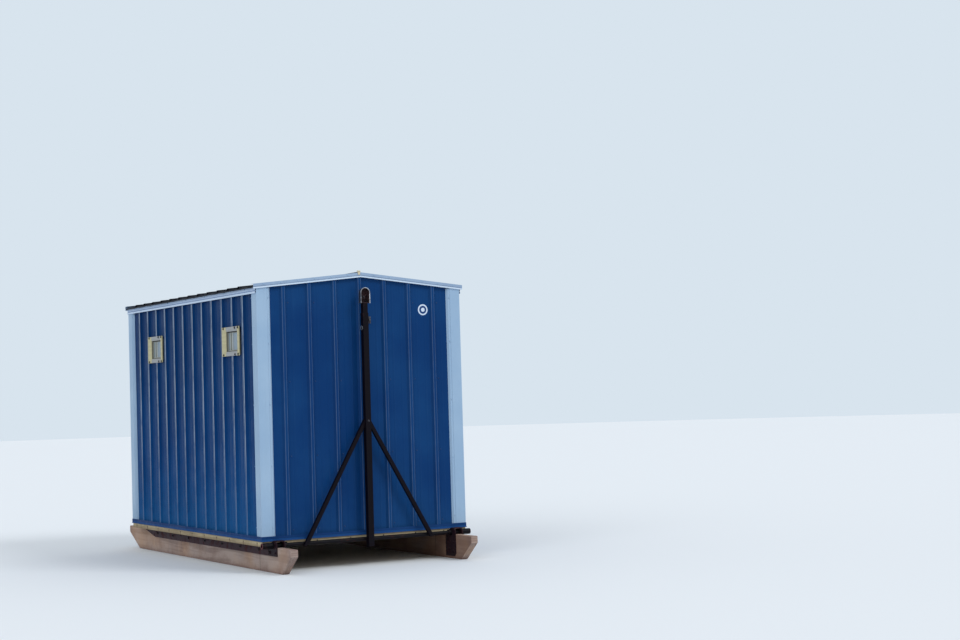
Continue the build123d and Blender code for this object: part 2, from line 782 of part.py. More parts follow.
# Pressed ball coupler, open to the front when folded: shelled body, rim lip, ball dome and clamp
coupler_back = mast_y + coupler_depth / 2
nose_z = coupler_z + coupler_length - coupler_width / 2
body_length = coupler_length - coupler_width / 2
clamp_z = nose_z - ball_radius - coupler_wall - clamp_height / 2
cup_middle = (drawbar_shift, coupler_back - coupler_wall, nose_z)
cup_plane = Plane(origin=cup_middle, x_dir=(1, 0, 0), z_dir=(0, 0, 1))
cup_turns = [math.radians(turn) for turn in (0, 45, 90)]
cup_path = [(ball_radius * math.sin(turn), ball_radius * (math.cos(turn) - 1)) for turn in cup_turns]
with BuildPart() as coupler:
    with BuildSketch(drawbar_front.offset(-coupler_back)):
        with Locations((0, coupler_z + body_length / 2)):
            Rectangle(coupler_width, body_length)
        with Locations((0, nose_z)):
            Circle(coupler_width / 2)
    extrude(amount=coupler_depth)
    chamfer(coupler.faces().sort_by(Axis.Y)[-1].edges(), length=coupler_bevel)
    offset(amount=-coupler_wall, openings=coupler.faces().sort_by(Axis.Y)[0])
    with BuildSketch(drawbar_front.offset(-(coupler_back - coupler_depth + lip_thick))):
        with Locations((0, coupler_z + body_length / 2)):
            Rectangle(coupler_width + 2 * lip_width, body_length)
        with Locations((0, nose_z)):
            Circle(coupler_width / 2 + lip_width)
        with Locations((0, coupler_z + body_length / 2)):
            Rectangle(coupler_width - 2 * coupler_wall, body_length, mode=Mode.SUBTRACT)
        with Locations((0, nose_z)):
            Circle(coupler_width / 2 - coupler_wall, mode=Mode.SUBTRACT)
    extrude(amount=lip_thick)
    with BuildSketch(cup_plane):
        add(folded(cup_path, coupler_wall, Side.LEFT))
    revolve(axis=Axis((drawbar_shift, coupler_back, nose_z), (0, 1, 0)))
    with Locations((drawbar_shift, coupler_back - coupler_wall - clamp_depth / 2, clamp_z)):
        Box(clamp_width, clamp_depth, clamp_height)
    with BuildSketch(drawbar_level.offset(coupler_z)):
        with Locations((0, mast_y)):
            Rectangle(inner_side + 2 * weld_gap, inner_side + 2 * weld_gap)
    extrude(amount=2 * coupler_wall + seat_gap, mode=Mode.SUBTRACT)
save(coupler, "coupler")

# Square tube braces from the pipe up to the mast, cut level at the foot and plumb at the mast
brace_foot = pipe_z - brace_drop
brace_in = mast_side / 2 + weld_gap
lean = (brace_spread - brace_in) / brace_rise
level_cut = brace_side * math.sqrt(1 + lean * lean)
plumb_cut = level_cut / lean
level_wall = level_cut * brace_wall / brace_side
plumb_wall = plumb_cut * brace_wall / brace_side
brace_out = brace_spread + level_cut / 2
brace_top = brace_foot + brace_rise + plumb_cut / 2
brace_skin = [
    (brace_out - level_cut, brace_foot),
    (brace_out, brace_foot),
    (brace_in, brace_top),
    (brace_in, brace_top - plumb_cut),
]
brace_bore = [
    (brace_out - level_cut + level_wall, brace_foot),
    (brace_out - level_wall, brace_foot),
    (brace_in, brace_top - plumb_wall),
    (brace_in, brace_top - plumb_cut + plumb_wall),
]
with BuildPart() as brace_right:
    with BuildSketch(drawbar_front.offset(-mast_back)):
        with BuildLine():
            Polyline(*brace_skin, close=True)
        make_face()
    extrude(amount=brace_side)
    with BuildSketch(drawbar_front.offset(-mast_back + brace_wall)):
        with BuildLine():
            Polyline(*brace_bore, close=True)
        make_face()
    extrude(amount=brace_side - 2 * brace_wall, mode=Mode.SUBTRACT)
save(brace_right, "brace_right")

with BuildPart() as brace_left:
    add(mirror(brace_right.part, about=drawbar_side))
save(brace_left, "brace_left")

# Hitch pin through both tubes, its round head on the left
pin_start = drawbar_shift - mast_side / 2 - seat_gap
with BuildPart() as hitch_pin:
    with BuildSketch(Plane.YZ.offset(pin_start)):
        with Locations((mast_y, pin_z)):
            Circle(pin_radius)
    extrude(amount=mast_side + pin_tail)
    with BuildSketch(Plane.YZ.offset(pin_start)):
        with Locations((mast_y, pin_z)):
            Circle(pin_head_radius)
    extrude(amount=-pin_head_thick)
save(hitch_pin, "hitch_pin")

# Keeper on the gable: an angle screwed over a bead, its arm beside the folded mast
keeper_z = mast_high - keeper_below_top
keeper_in = drawbar_shift + mast_side / 2 + keeper_gap
keeper_back = flat_y + bead_height + seat_gap
with BuildPart() as mast_keeper:
    with BuildSketch(Plane.XY.offset(keeper_z)):
        with BuildLine():
            Polyline(
                (keeper_in, -keeper_back),
                (keeper_in + keeper_flange, -keeper_back),
                (keeper_in + keeper_flange, -keeper_back - keeper_plate),
                (keeper_in + keeper_plate, -keeper_back - keeper_plate),
                (keeper_in + keeper_plate, -keeper_back - keeper_arm),
                (keeper_in, -keeper_back - keeper_arm),
                close=True,
            )
        make_face()
    extrude(amount=keeper_height)
    arm_tips = mast_keeper.edges().filter_by(Axis.X).group_by(Axis.Y)[0]
    chamfer(arm_tips, length=keeper_height / 4)
save(mast_keeper, "mast_keeper")
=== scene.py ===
"""Studio scene of an ice fishing hut on skids, its drawbar folded up against the front gable."""

import json
import logging
import math
import random
from dataclasses import dataclass
from enum import Enum
from functools import cached_property

import bmesh
import bpy
from mathutils import Matrix, Vector
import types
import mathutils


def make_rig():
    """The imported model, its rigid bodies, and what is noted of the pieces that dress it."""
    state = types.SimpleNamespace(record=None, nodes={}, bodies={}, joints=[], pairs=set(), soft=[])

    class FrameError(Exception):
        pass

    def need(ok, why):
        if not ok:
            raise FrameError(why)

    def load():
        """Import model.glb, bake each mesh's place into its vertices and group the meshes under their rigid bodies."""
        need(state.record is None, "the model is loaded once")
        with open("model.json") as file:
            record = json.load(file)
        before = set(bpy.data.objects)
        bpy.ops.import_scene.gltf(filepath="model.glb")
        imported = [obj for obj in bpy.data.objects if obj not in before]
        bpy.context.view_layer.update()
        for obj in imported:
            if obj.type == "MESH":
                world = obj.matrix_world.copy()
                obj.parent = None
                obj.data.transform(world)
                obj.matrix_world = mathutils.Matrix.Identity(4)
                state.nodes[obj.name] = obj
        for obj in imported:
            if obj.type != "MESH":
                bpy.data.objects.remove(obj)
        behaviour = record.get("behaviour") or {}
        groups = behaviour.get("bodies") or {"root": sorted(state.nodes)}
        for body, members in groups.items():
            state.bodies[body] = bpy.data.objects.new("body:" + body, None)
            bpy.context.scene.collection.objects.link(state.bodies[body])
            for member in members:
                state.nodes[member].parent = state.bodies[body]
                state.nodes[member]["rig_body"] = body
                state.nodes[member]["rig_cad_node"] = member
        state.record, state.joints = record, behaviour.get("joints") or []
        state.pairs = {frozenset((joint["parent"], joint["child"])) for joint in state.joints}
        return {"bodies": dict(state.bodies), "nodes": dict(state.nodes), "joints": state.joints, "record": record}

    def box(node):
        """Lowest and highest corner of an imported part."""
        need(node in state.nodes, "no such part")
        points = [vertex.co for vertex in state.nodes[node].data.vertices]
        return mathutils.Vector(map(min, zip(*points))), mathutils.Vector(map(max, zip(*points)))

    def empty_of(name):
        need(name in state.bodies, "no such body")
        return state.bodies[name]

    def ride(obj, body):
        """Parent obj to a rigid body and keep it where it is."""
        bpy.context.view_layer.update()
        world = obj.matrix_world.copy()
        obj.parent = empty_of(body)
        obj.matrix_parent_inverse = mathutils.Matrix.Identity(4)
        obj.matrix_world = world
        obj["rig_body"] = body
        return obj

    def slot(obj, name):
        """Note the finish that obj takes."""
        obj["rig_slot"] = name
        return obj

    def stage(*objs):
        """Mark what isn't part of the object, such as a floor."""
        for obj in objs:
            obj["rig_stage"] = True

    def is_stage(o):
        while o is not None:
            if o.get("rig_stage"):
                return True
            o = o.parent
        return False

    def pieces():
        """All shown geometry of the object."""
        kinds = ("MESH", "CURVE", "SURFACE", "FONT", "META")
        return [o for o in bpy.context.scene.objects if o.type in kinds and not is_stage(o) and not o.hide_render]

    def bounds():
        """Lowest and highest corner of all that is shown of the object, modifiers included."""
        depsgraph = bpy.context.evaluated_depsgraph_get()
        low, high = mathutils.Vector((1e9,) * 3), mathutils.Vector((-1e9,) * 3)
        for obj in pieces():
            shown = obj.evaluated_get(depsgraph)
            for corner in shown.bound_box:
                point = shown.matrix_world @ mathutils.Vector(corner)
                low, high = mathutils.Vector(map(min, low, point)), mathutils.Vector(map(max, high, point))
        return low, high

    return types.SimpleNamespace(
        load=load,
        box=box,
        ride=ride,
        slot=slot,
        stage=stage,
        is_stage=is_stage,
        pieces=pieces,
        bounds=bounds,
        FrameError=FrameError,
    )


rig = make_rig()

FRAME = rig.load()
CAD_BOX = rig.bounds()
LOG = logging.getLogger("hut")

Point = tuple[float, float, float]
Colour = tuple[int, int, int]
Seat = tuple[Vector, Vector]
Span = tuple[float, float]
Run = tuple[float, float, int]
Shape = bmesh.types.BMesh

RIB_PITCH = 0.2286
SIDE_RIB_START = -1.249
SIDE_RIBS = 12
GABLE_RIB_START = -0.6965
GABLE_RIBS = 7
BESIDE_RIB = 0.046
CREST_HALF = 0.0118
ROOF_SLOPE = 1.25 / 12
RIM_SCREW_START = -1.45
RIM_SCREW_PITCH = 0.29
RIM_SCREW_LEVEL = 0.236


class Hand(Enum):
    """The two long sides of the hut."""

    LEFT = -1
    RIGHT = 1

    @property
    def out(self) -> Point:
        """The way that the side faces."""
        return (self.value, 0, 0)


class Gable(Enum):
    """The two ends of the hut."""

    FRONT = -1
    REAR = 1

    @property
    def out(self) -> Point:
        """The way that the end faces."""
        return (0, self.value, 0)


class Body(Enum):
    """The bodies that pieces ride on."""

    HUT = "hut"
    DRAWBAR = "drawbar"


class RibRun(Enum):
    """The axis that a ribbed sheet's ribs are counted along, and the axis that they stand out on."""

    SIDE = ("Y", "X")
    GABLE = ("X", "Y")


def linear(colour: Colour) -> tuple[float, ...]:
    """The linear value, with full alpha, of a colour written as 0 to 255."""
    shares = (part / 255 for part in colour)
    return (*(s / 12.92 if s <= 0.04045 else ((s + 0.055) / 1.055) ** 2.4 for s in shares), 1.0)


class Value:
    """A number, vector or colour in a shader tree; arithmetic on it adds Math nodes."""

    def __init__(self, wires: "Wiring", socket: bpy.types.NodeSocket) -> None:
        """Keep the output socket and the wiring that it belongs to."""
        self.wires, self.socket = wires, socket

    def __add__(self, other: object) -> "Value":
        """The sum."""
        return self.wires.maths("ADD", self, other)

    def __sub__(self, other: object) -> "Value":
        """The difference."""
        return self.wires.maths("SUBTRACT", self, other)

    def __rsub__(self, other: object) -> "Value":
        """The difference, the other way round."""
        return self.wires.maths("SUBTRACT", other, self)

    def __mul__(self, other: object) -> "Value":
        """The product."""
        return self.wires.maths("MULTIPLY", self, other)

    def __truediv__(self, other: object) -> "Value":
        """The quotient."""
        return self.wires.maths("DIVIDE", self, other)

    def __abs__(self) -> "Value":
        """The size without its sign."""
        return self.wires.maths("ABSOLUTE", self)

    def __round__(self) -> "Value":
        """The nearest whole number."""
        return self.wires.maths("ROUND", self)

    __radd__ = __add__

    def kept(self) -> "Value":
        """This result of arithmetic, kept from 0 to 1."""
        self.socket.node.use_clamp = True
        return self

    def ramp(self, low: float, high: float, bottom: float = 0.0, top: float = 1.0) -> "Value":
        """The number mapped smoothly from low and high to bottom and top."""
        ends = {"Value": self, "From Min": low, "From Max": high, "To Min": bottom, "To Max": top}
        return self.wires.add("MapRange", ends, interpolation_type="SMOOTHSTEP")["Result"]

    def step(self, level: float, slack: float, below: float = 0.0, above: float = 1.0) -> "Value":
        """One value below a level and another above it, with a soft edge."""
        return self.ramp(level - slack, level + slack, below, above)

    def near(self, level: float, inner: float, outer: float, top: float = 1.0) -> "Value":
        """A band about a level: top up to inner from it, and nothing past outer."""
        return abs(self - level).ramp(inner, outer, top, 0.0)


class Wiring:
    """Adds nodes to a shader tree and joins them."""

    def __init__(self, tree: bpy.types.NodeTree) -> None:
        """Keep the tree that the nodes go into."""
        self.tree = tree

    def feed(self, target: bpy.types.NodeSocket, value: object) -> None:
        """Join a value to a socket, or set the socket to a plain one.

        Args:
            target: The input socket.
            value: A Value, a number, a vector, or a colour from 0 to 255.
        """
        if isinstance(value, Value):
            self.tree.links.new(value.socket, target)
        elif target.type == "RGBA" and len(value) == 3:
            target.default_value = linear(value)
        else:
            target.default_value = value

    def add(self, kind: str, inputs: dict | None = None, **settings: object) -> dict[str, Value]:
        """Add a node.

        Args:
            kind: The node's type without its prefix.
            inputs: What its inputs get, by their name or number.
            settings: Properties to set on it first.

        Returns:
            Its outputs, by name.
        """
        node = self.tree.nodes.new("ShaderNode" + kind)
        for key, value in settings.items():
            setattr(node, key, value)
        for key, value in (inputs or {}).items():
            self.feed(node.inputs[key], value)
        return {output.name: Value(self, output) for output in node.outputs if output.enabled}

    def maths(self, operation: str, first: object, second: object = 0.0) -> Value:
        """Combine two numbers."""
        return self.add("Math", {0: first, 1: second}, operation=operation)["Value"]

    def stretched(self, vector: Value, scale: Point) -> Value:
        """Stretch a coordinate by a factor for each axis."""
        return self.add("VectorMath", {0: vector, 1: scale}, operation="MULTIPLY")["Vector"]

    def noise(self, vector: Value, scale: object, detail: float = 3.0, rough: float = 0.55) -> Value:
        """Read a noise pattern, of so many spots a metre and so many octaves, at a coordinate."""
        return self.add("TexNoise", {"Vector": vector, "Scale": scale, "Detail": detail, "Roughness": rough})["Fac"]

    def blend(self, factor: Value, first: object, second: object) -> Value:
        """Mix two colours; the factor says how much of the second shows."""
        return self.add("Mix", {"Factor": factor, "A": first, "B": second}, data_type="RGBA")["Result"]

    def split(self, vector: Value) -> dict[str, Value]:
        """Split a coordinate into its three numbers, by axis name."""
        return self.add("SeparateXYZ", {0: vector})


class EffectGroup:
    """A shared shader effect: a node group with named inputs and outputs, read at a coordinate."""

    def __init__(self, name: str, outputs: tuple[str, ...] = ("Mask",), **inputs: float) -> None:
        """Make the group's sockets.

        Args:
            name: The group's name.
            outputs: Names of the values that it puts out.
            inputs: The numbers that it takes besides the coordinate, with their defaults.
        """
        self.tree = bpy.data.node_groups.new(name, "ShaderNodeTree")
        self.wires = Wiring(self.tree)
        sockets = self.tree.interface
        sockets.new_socket(name="Vector", in_out="INPUT", socket_type="NodeSocketVector")
        for key, value in inputs.items():
            sockets.new_socket(name=key, in_out="INPUT", socket_type="NodeSocketFloat").default_value = value
        for key in outputs:
            sockets.new_socket(name=key, in_out="OUTPUT", socket_type="NodeSocketFloat")
        source = self.tree.nodes.new("NodeGroupInput").outputs
        self.source = [Value(self.wires, socket) for socket in source if socket.name]
        self.target = self.tree.nodes.new("NodeGroupOutput").inputs

    def give(self, **values: Value) -> "EffectGroup":
        """Feed the group's outputs.

        Args:
            values: What each output gets.

        Returns:
            The group.
        """
        for key, value in values.items():
            self.wires.feed(self.target[key], value)
        return self

    def read(self, place: Value, **values: object) -> dict[str, Value]:
        """Put the group into the tree of a coordinate, with values for its other inputs."""
        return place.wires.add("Group", {"Vector": place, **values}, node_tree=self.tree)

    def mask(self, place: Value, **values: object) -> Value:
        """Read the group's mask at a coordinate."""
        return self.read(place, **values)["Mask"]


class Effects:
    """The shared effects, each built once, when a finish first asks for it."""

    @cached_property
    def fleck(self) -> EffectGroup:
        """Small irregular spots, such as chips and grit.

        Returns:
            The group.
        """
        group = EffectGroup("Fleck", Size=60.0, Amount=0.3)
        place, size, amount = group.source
        spots = group.wires.noise(place, size, 4.0, 0.65) - (0.82 - amount * 0.45)
        return group.give(Mask=(spots * 14.0).kept())

    @cached_property
    def streak(self) -> EffectGroup:
        """Upright runs of dirt, as water leaves them.

        Returns:
            The group.
        """
        group = EffectGroup("Run Streak", Width=40.0, Amount=0.5)
        w, (place, width, amount) = group.wires, group.source
        runs = w.noise(w.stretched(place, (1.0, 1.0, 0.04)), width, 5.0, 0.5).ramp(0.5, 0.75)
        broad = w.noise(place, 2.3, 2.0).ramp(0.35, 0.7)
        return group.give(Mask=(runs * broad * amount).kept())

    @cached_property
    def soil_and_light(self) -> EffectGroup:
        """A mask that thins out upwards from the ground: splashed dirt and wet stain, and on the side sheets painted
        light from below.

        Returns:
            The group.
        """
        group = EffectGroup("Ground Splash", Low=0.2, Reach=0.4)
        w, (place, low, reach) = group.wires, group.source
        fade = (1.0 - (w.split(place)["Z"] - low) / reach).kept()
        ragged = fade + (w.noise(place, 22.0, 6.0, 0.7) - 0.5)
        return group.give(Mask=(ragged.ramp(0.35, 1.1) * fade).kept())

    @cached_property
    def rub(self) -> EffectGroup:
        """Worn edges, broken up by noise.

        Returns:
            The group.
        """
        group = EffectGroup("Edge Rub", Width=0.004, Amount=0.6)
        w, (place, width, amount) = group.wires, group.source
        normals = {0: w.add("Bevel", {"Radius": width}, samples=4)["Normal"], 1: w.add("NewGeometry")["True Normal"]}
        edge = (1.0 - w.add("VectorMath", normals, operation="DOT_PRODUCT")["Value"]).ramp(0.02, 0.22)
        broken = w.noise(place, 45.0, 5.0, 0.7).ramp(0.38, 0.62)
        return group.give(Mask=(edge * (0.35 + broken * 0.65) * amount).kept())

    @cached_property
    def crest(self) -> EffectGroup:
        """Painted highlight: pale lines along both edges of each tall rib's crest, where the bends catch the light.

        Returns:
            The group.
        """
        sizes = {"Along": 0.0, "Out": 0.0, "Start": 0.0, "Level": 0.9, "Spread": 0.005, "Amount": 0.5}
        group = EffectGroup("Rib Crest Rub", **sizes)
        place, along, out, start, level, spread, amount = group.source
        turn = (along - start) / RIB_PITCH
        beside = abs(turn - round(turn)) * RIB_PITCH
        line = 1.0 - (abs(beside - CREST_HALF) / spread).ramp(0.3, 1.0)
        high = (abs(out) - level).ramp(-0.0065, -0.001)
        # Noise breaks up the painted highlight lines.
        wear_and_highlight = group.wires.noise(place, 9.0, 5.0, 0.7).ramp(0.25, 0.6, 0.45, 1.0)
        return group.give(Mask=(line * high * wear_and_highlight * amount).kept())

    @cached_property
    def grain(self) -> EffectGroup:
        """Plank grain that runs along Y, or along X where Across is 1, with fibres and growth bands.

        Returns:
            The group.
        """
        group = EffectGroup("Plank Grain", ("Tone", "Fibre"), Across=0.0)
        w, (place, across) = group.wires, group.source
        ways = {"A": w.stretched(place, (1.0, 0.05, 1.0)), "B": w.stretched(place, (0.05, 1.0, 1.0))}
        run = w.add("Mix", {"Factor": across, **ways}, data_type="VECTOR")["Result"]
        rings = {"Vector": run, "Scale": 16.0, "Distortion": 7.0, "Detail": 3.0, "Detail Scale": 1.6}
        bands = w.add("TexWave", rings, wave_type="RINGS", rings_direction="Y")["Fac"]
        fibre = w.noise(run, 190.0, 3.0, 0.7)
        tone = bands * 0.45 + fibre * 0.3 + w.noise(place, 3.1) * 0.25
        return group.give(Tone=tone.kept(), Fibre=fibre)

    @cached_property
    def bleed(self) -> EffectGroup:
        """Rust that bleeds down from a row of screws.

        Returns:
            The group.
        """
        group = EffectGroup("Screw Bleed", Along=0.0, Start=0.0, Pitch=0.3, Level=0.2, Drop=0.03)
        w, (place, along, start, pitch, level, drop) = group.wires, group.source
        turn = (along - start) / pitch
        wander = (w.noise(place, 70.0) - 0.5) * 0.012
        near = 1.0 - abs((turn - round(turn)) * pitch + wander).ramp(0.003, 0.011)
        below = level - w.split(place)["Z"]
        reach = (1.0 - abs(below) / drop).kept()
        return group.give(Mask=(near * reach * below.ramp(-0.008, 0.002)).kept())

    @cached_property
    def rust(self) -> EffectGroup:
        """Rust in blooms with a fine pitted texture.

        Returns:
            The group.
        """
        group = EffectGroup("Rust Bloom", ("Mask", "Tone", "Pit"), Size=14.0, Amount=0.5)
        w, (place, size, amount) = group.wires, group.source
        bloom = w.noise(place, size, 7.0, 0.68) - (0.78 - amount * 0.56)
        tone = w.noise(place, 34.0, 5.0, 0.7).ramp(0.3, 0.7)
        return group.give(Mask=(bloom * 7.0).kept(), Tone=tone, Pit=w.noise(place, 420.0, 4.0, 0.7))


EFFECTS = Effects()


class Coat:
    """A material in the making: its Principled shader, and the colour that its layers add up to."""

    def __init__(self, name: str) -> None:
        """Begin a material.

        Args:
            name: Its name.
        """
        self.material = bpy.data.materials.new(name)
        self.material.use_nodes = True
        self.wires = Wiring(self.material.node_tree)
        self.shader = self.material.node_tree.nodes["Principled BSDF"].inputs
        self.colour: Value | None = None

    @cached_property
    def place(self) -> Value:
        """The object coordinate."""
        return self.wires.add("TexCoord")["Object"]

    @cached_property
    def xyz(self) -> dict[str, Value]:
        """The object coordinate's three numbers."""
        return self.wires.split(self.place)

    def noise(self, scale: float, detail: float = 3.0, rough: float = 0.55) -> Value:
        """Read a noise pattern at the object coordinate."""
        return self.wires.noise(self.place, scale, detail, rough)

    def ground(self, mask: Value, first: object, second: object) -> None:
        """Start with two colours, mixed as a mask says."""
        self.colour = self.wires.blend(mask, first, second)

    def tint(self, mask: Value, colour: object) -> None:
        """Lay a colour over what is there, as far as a mask says."""
        self.colour = self.wires.blend(mask, self.colour, colour)

    def wear(self, effect: EffectGroup, colour: Colour, share: float = 1.0, **values: object) -> None:
        """Show a colour, as strongly as its share says, where an effect with the given inputs falls."""
        mask = effect.mask(self.place, **values)
        self.tint(mask if share == 1.0 else mask * share, colour)

    def set(self, inputs: dict[str, object]) -> None:
        """Feed the shader's inputs by name."""
        for key, value in inputs.items():
            self.wires.feed(self.shader[key], value)

    def seal(self, rough: Value, height: Value, depth: float, mirror: float = 0.5, metal: object = 0.0) -> None:
        """Feed the shader with the colour and with how the surface takes the light.

        Args:
            rough: Its roughness.
            height: The pattern that the surface is embossed with.
            depth: The pattern's depth in metres.
            mirror: How strongly it mirrors.
            metal: How metallic it is.
        """
        bump = self.wires.add("Bump", {"Strength": 0.6, "Distance": depth, "Height": height})["Normal"]
        self.set({"Base Color": self.colour, "Roughness": rough, "Normal": bump})
        self.set({"Specular IOR Level": mirror, "Metallic": metal})


@dataclass(frozen=True)
class Finish:
    """What every finish shares: a name, and a material whose coat its own lay method makes."""

    name: str

    def build(self) -> bpy.types.Material:
        """Make the material.

        Returns:
            The material.
        """
        coat = Coat(self.name)
        self.lay(coat)
        return coat.material

    def lay(self, coat: Coat) -> None:
        """Lay the finish on a coat; each kind of finish has its own way."""
        raise NotImplementedError


@dataclass(frozen=True)
class RibHighlight:
    """Where a sheet's tall ribs stand, and how strongly their crests carry painted highlight lines."""

    run: RibRun
    start: float
    level: float
    # How strong the painted highlight lines are.
    amount: float
    spread: float
    # Their strength at the bottom of the wall, as a share.
    low: float = 1.0


@dataclass(frozen=True)
class CoilPaint(Finish):
    """Factory painted sheet steel: fairly glossy, faded in places, streaked and splashed low down, where the side
    sheets get a lighter colour as painted light; with painted highlights on rib crests and hems, and painted shade in
    hem creases and towards the top of the side sheets.
    """

    paint: Colour
    faded: Colour
    # Pale colour of worn edges and flecks, also of the painted highlights on rib crests and hems.
    wear_and_highlight: Colour
    # Colour of streaks and of splash near the ground, also of painted shade in hem creases; on the side sheets a
    # lighter blue laid low as painted light.
    dirt_and_painted_light: Colour
    gloss: float = 0.36
    mirror: float = 0.16
    streaks: float = 0.14
    # How strongly the colour near the ground is laid: splashed dirt, and on the side sheets painted light.
    splash: float = 0.2
    splash_and_light_reach: float = 0.5
    edge_rub: float = 0.3
    ribs: RibHighlight | None = None
    hem: tuple[float, float, float] | None = None
    # Colour that the sheet darkens to towards the top, as painted shade under the eave.
    deep: Colour | None = None

    def lay(self, coat: Coat) -> None:
        """Lay the paint, its dirt and worn edges, the painted highlights on its ribs and hem, painted shade in the
        hem's crease and on the upper wall, and painted light low down.

        Args:
            coat: The coat to work on.
        """
        xyz, ribs = coat.xyz, self.ribs
        coat.ground(coat.noise(1.7, 4.0).ramp(0.35, 0.7), self.paint, self.faded)
        # Painted shade: darker towards the top, under the eave.
        if self.deep is not None:
            coat.tint(xyz["Z"].ramp(0.6, 2.1, 0.0, 0.6), self.deep)
        coat.wear(EFFECTS.streak, self.dirt_and_painted_light, Width=34.0, Amount=self.streaks)
        # Near the ground: splashed dirt, and on the side sheets a lighter blue as painted light from below.
        splash = EFFECTS.soil_and_light.mask(coat.place, Low=0.22, Reach=self.splash_and_light_reach)
        coat.tint(splash * self.splash, self.dirt_and_painted_light)
        coat.wear(EFFECTS.rub, self.wear_and_highlight, Width=0.003, Amount=self.edge_rub)
        # Painted highlight: pale lines along the rib crests, weaker towards the bottom.
        if ribs is not None:
            along, out = (xyz[axis] for axis in ribs.run.value)
            sizes = {"Start": ribs.start, "Level": ribs.level, "Spread": ribs.spread, "Amount": ribs.amount}
            crest = EFFECTS.crest.mask(coat.place, Along=along, Out=out, **sizes)
            coat.tint(crest * xyz["Z"].ramp(0.3, 1.5, ribs.low, 1.0), self.wear_and_highlight)
        # Painted highlight on the strip below the hem's crease, and painted shade along the crease itself.
        if self.hem is not None:
            low, slope, tall = self.hem
            rise = xyz["Z"] - (low - abs(xyz["X"]) * slope) - tall
            coat.tint(rise.step(0.0, 0.001, 0.75, 0.0), self.wear_and_highlight)
            coat.tint(rise.near(0.0025, 0.0008, 0.0022, 0.6), self.dirt_and_painted_light)
        coat.wear(EFFECTS.fleck, self.wear_and_highlight, 0.6, Size=75.0, Amount=0.12)
        matt = coat.noise(6.0, 5.0).ramp(0.3, 0.75, self.gloss - 0.06, self.gloss + 0.12)
        ripple = coat.noise(5.0, 1.0) * 3.0 + coat.noise(900.0, 1.0) * 0.05
        coat.seal((matt + splash * 0.3).kept(), ripple, 0.0012, self.mirror)


@dataclass(frozen=True)
class Plank(Finish):
    """Sawn timber with grain, stains, worn arrises and rust from its screws, and, where set, painted shade on its
    inner faces.
    """

    light: Colour
    dark: Colour
    stain: Colour
    # Rust colour of flecks and bleeding screws, also laid on inner faces as painted shade.
    rusty: Colour
    wet_low: float = 0.0
    wet_reach: float = 0.09
    screw_level: float | None = None
    joint_at: float | None = None
    # Faces inside this x, under the hut, get painted shade.
    shade_inside_x: float | None = None
    warm: Colour | None = None
    gap: Colour = (30, 24, 20)

    def lay(self, coat: Coat) -> None:
        """Lay the grain and what the weather has done to it.

        Args:
            coat: The coat to work on.
        """
        w, xyz = coat.wires, coat.xyz
        facing = w.split(w.add("NewGeometry")["True Normal"])
        grain = EFFECTS.grain.read(coat.place, Across=abs(facing["Y"]).ramp(0.6, 0.8))
        coat.ground(grain["Tone"].ramp(0.25, 0.75), self.light, self.dark)
        if self.warm is not None:
            coat.tint(coat.noise(1.7).ramp(0.44, 0.62, 0.0, 0.55), self.warm)
        coat.tint(coat.noise(4.6, 6.0, 0.62).ramp(0.42, 0.7) * 0.55, self.stain)
        coat.wear(EFFECTS.soil_and_light, self.stain, 0.8, Low=self.wet_low, Reach=self.wet_reach)
        coat.wear(EFFECTS.fleck, self.rusty, 0.5, Size=38.0, Amount=0.3)
        if self.screw_level is not None:
            row = {"Along": xyz["Y"], "Start": RIM_SCREW_START, "Pitch": RIM_SCREW_PITCH}
            coat.wear(EFFECTS.bleed, self.rusty, 0.85, Level=self.screw_level, Drop=0.045, **row)
        coat.wear(EFFECTS.rub, self.light, Width=0.006, Amount=0.35)
        # Painted shade: faces inside the given x are darkened with the rust colour.
        if self.shade_inside_x is not None:
            coat.tint(abs(xyz["X"]).ramp(self.shade_inside_x, self.shade_inside_x + 0.002, 0.5, 0.0), self.rusty)
        height = grain["Fibre"] * 0.5 + grain["Tone"] * 0.7
        if self.joint_at is not None:
            joint = xyz["Y"].near(self.joint_at, 0.0012, 0.003)
            coat.tint(joint, self.gap)
            height = height - joint * 2.0
        coat.seal(grain["Fibre"].ramp(0.2, 0.8, 0.68, 0.9), height, 0.0016, 0.25)


@dataclass(frozen=True)
class BarSteel(Finish):
    """Plain or black-painted steel that has rusted in blooms."""

    skin: Colour
    rust: Colour
    bright_rust: Colour
    cover: float = 0.45
    bloom_size: float = 14.0
    mirror: float = 0.2
    tip_at: float | None = None
    tip: Colour = (92, 48, 52)

    def lay(self, coat: Coat) -> None:
        """Lay the skin, its rust and, on a pipe, its bare ends.

        Args:
            coat: The coat to work on.
        """
        bloom = EFFECTS.rust.read(coat.place, Size=self.bloom_size, Amount=self.cover)
        coat.ground(bloom["Mask"], self.skin, coat.wires.blend(bloom["Tone"], self.rust, self.bright_rust))
        coat.wear(EFFECTS.rub, self.bright_rust, Width=0.003, Amount=0.55)
        coat.wear(EFFECTS.fleck, self.bright_rust, 0.45, Size=160.0, Amount=0.35)
        if self.tip_at is not None:
            coat.tint(abs(coat.xyz["X"]).step(self.tip_at, 0.0005, 0.0, 0.8), self.tip)
        height = bloom["Pit"] * 0.6 + bloom["Mask"] * 0.4
        coat.seal((0.5 + bloom["Mask"] * 0.4).kept(), height, 0.0011, self.mirror)


@dataclass(frozen=True)
class ZincPlate(Finish):
    """Plated steel: dull bright metal, brown in its hollows."""

    bright: Colour
    dull: Colour
    rust: Colour
    cover: float = 0.3

    def lay(self, coat: Coat) -> None:
        """Lay the plating and its rust.

        Args:
            coat: The coat to work on.
        """
        bloom = EFFECTS.rust.read(coat.place, Size=30.0, Amount=self.cover)
        coat.ground(coat.noise(90.0, 4.0).ramp(0.35, 0.7), self.bright, self.dull)
        coat.tint(bloom["Mask"], self.rust)
        metal = (0.85 - bloom["Mask"] * 0.8).kept()
        coat.seal(0.36 + bloom["Mask"] * 0.45, bloom["Pit"], 0.0006, metal=metal)


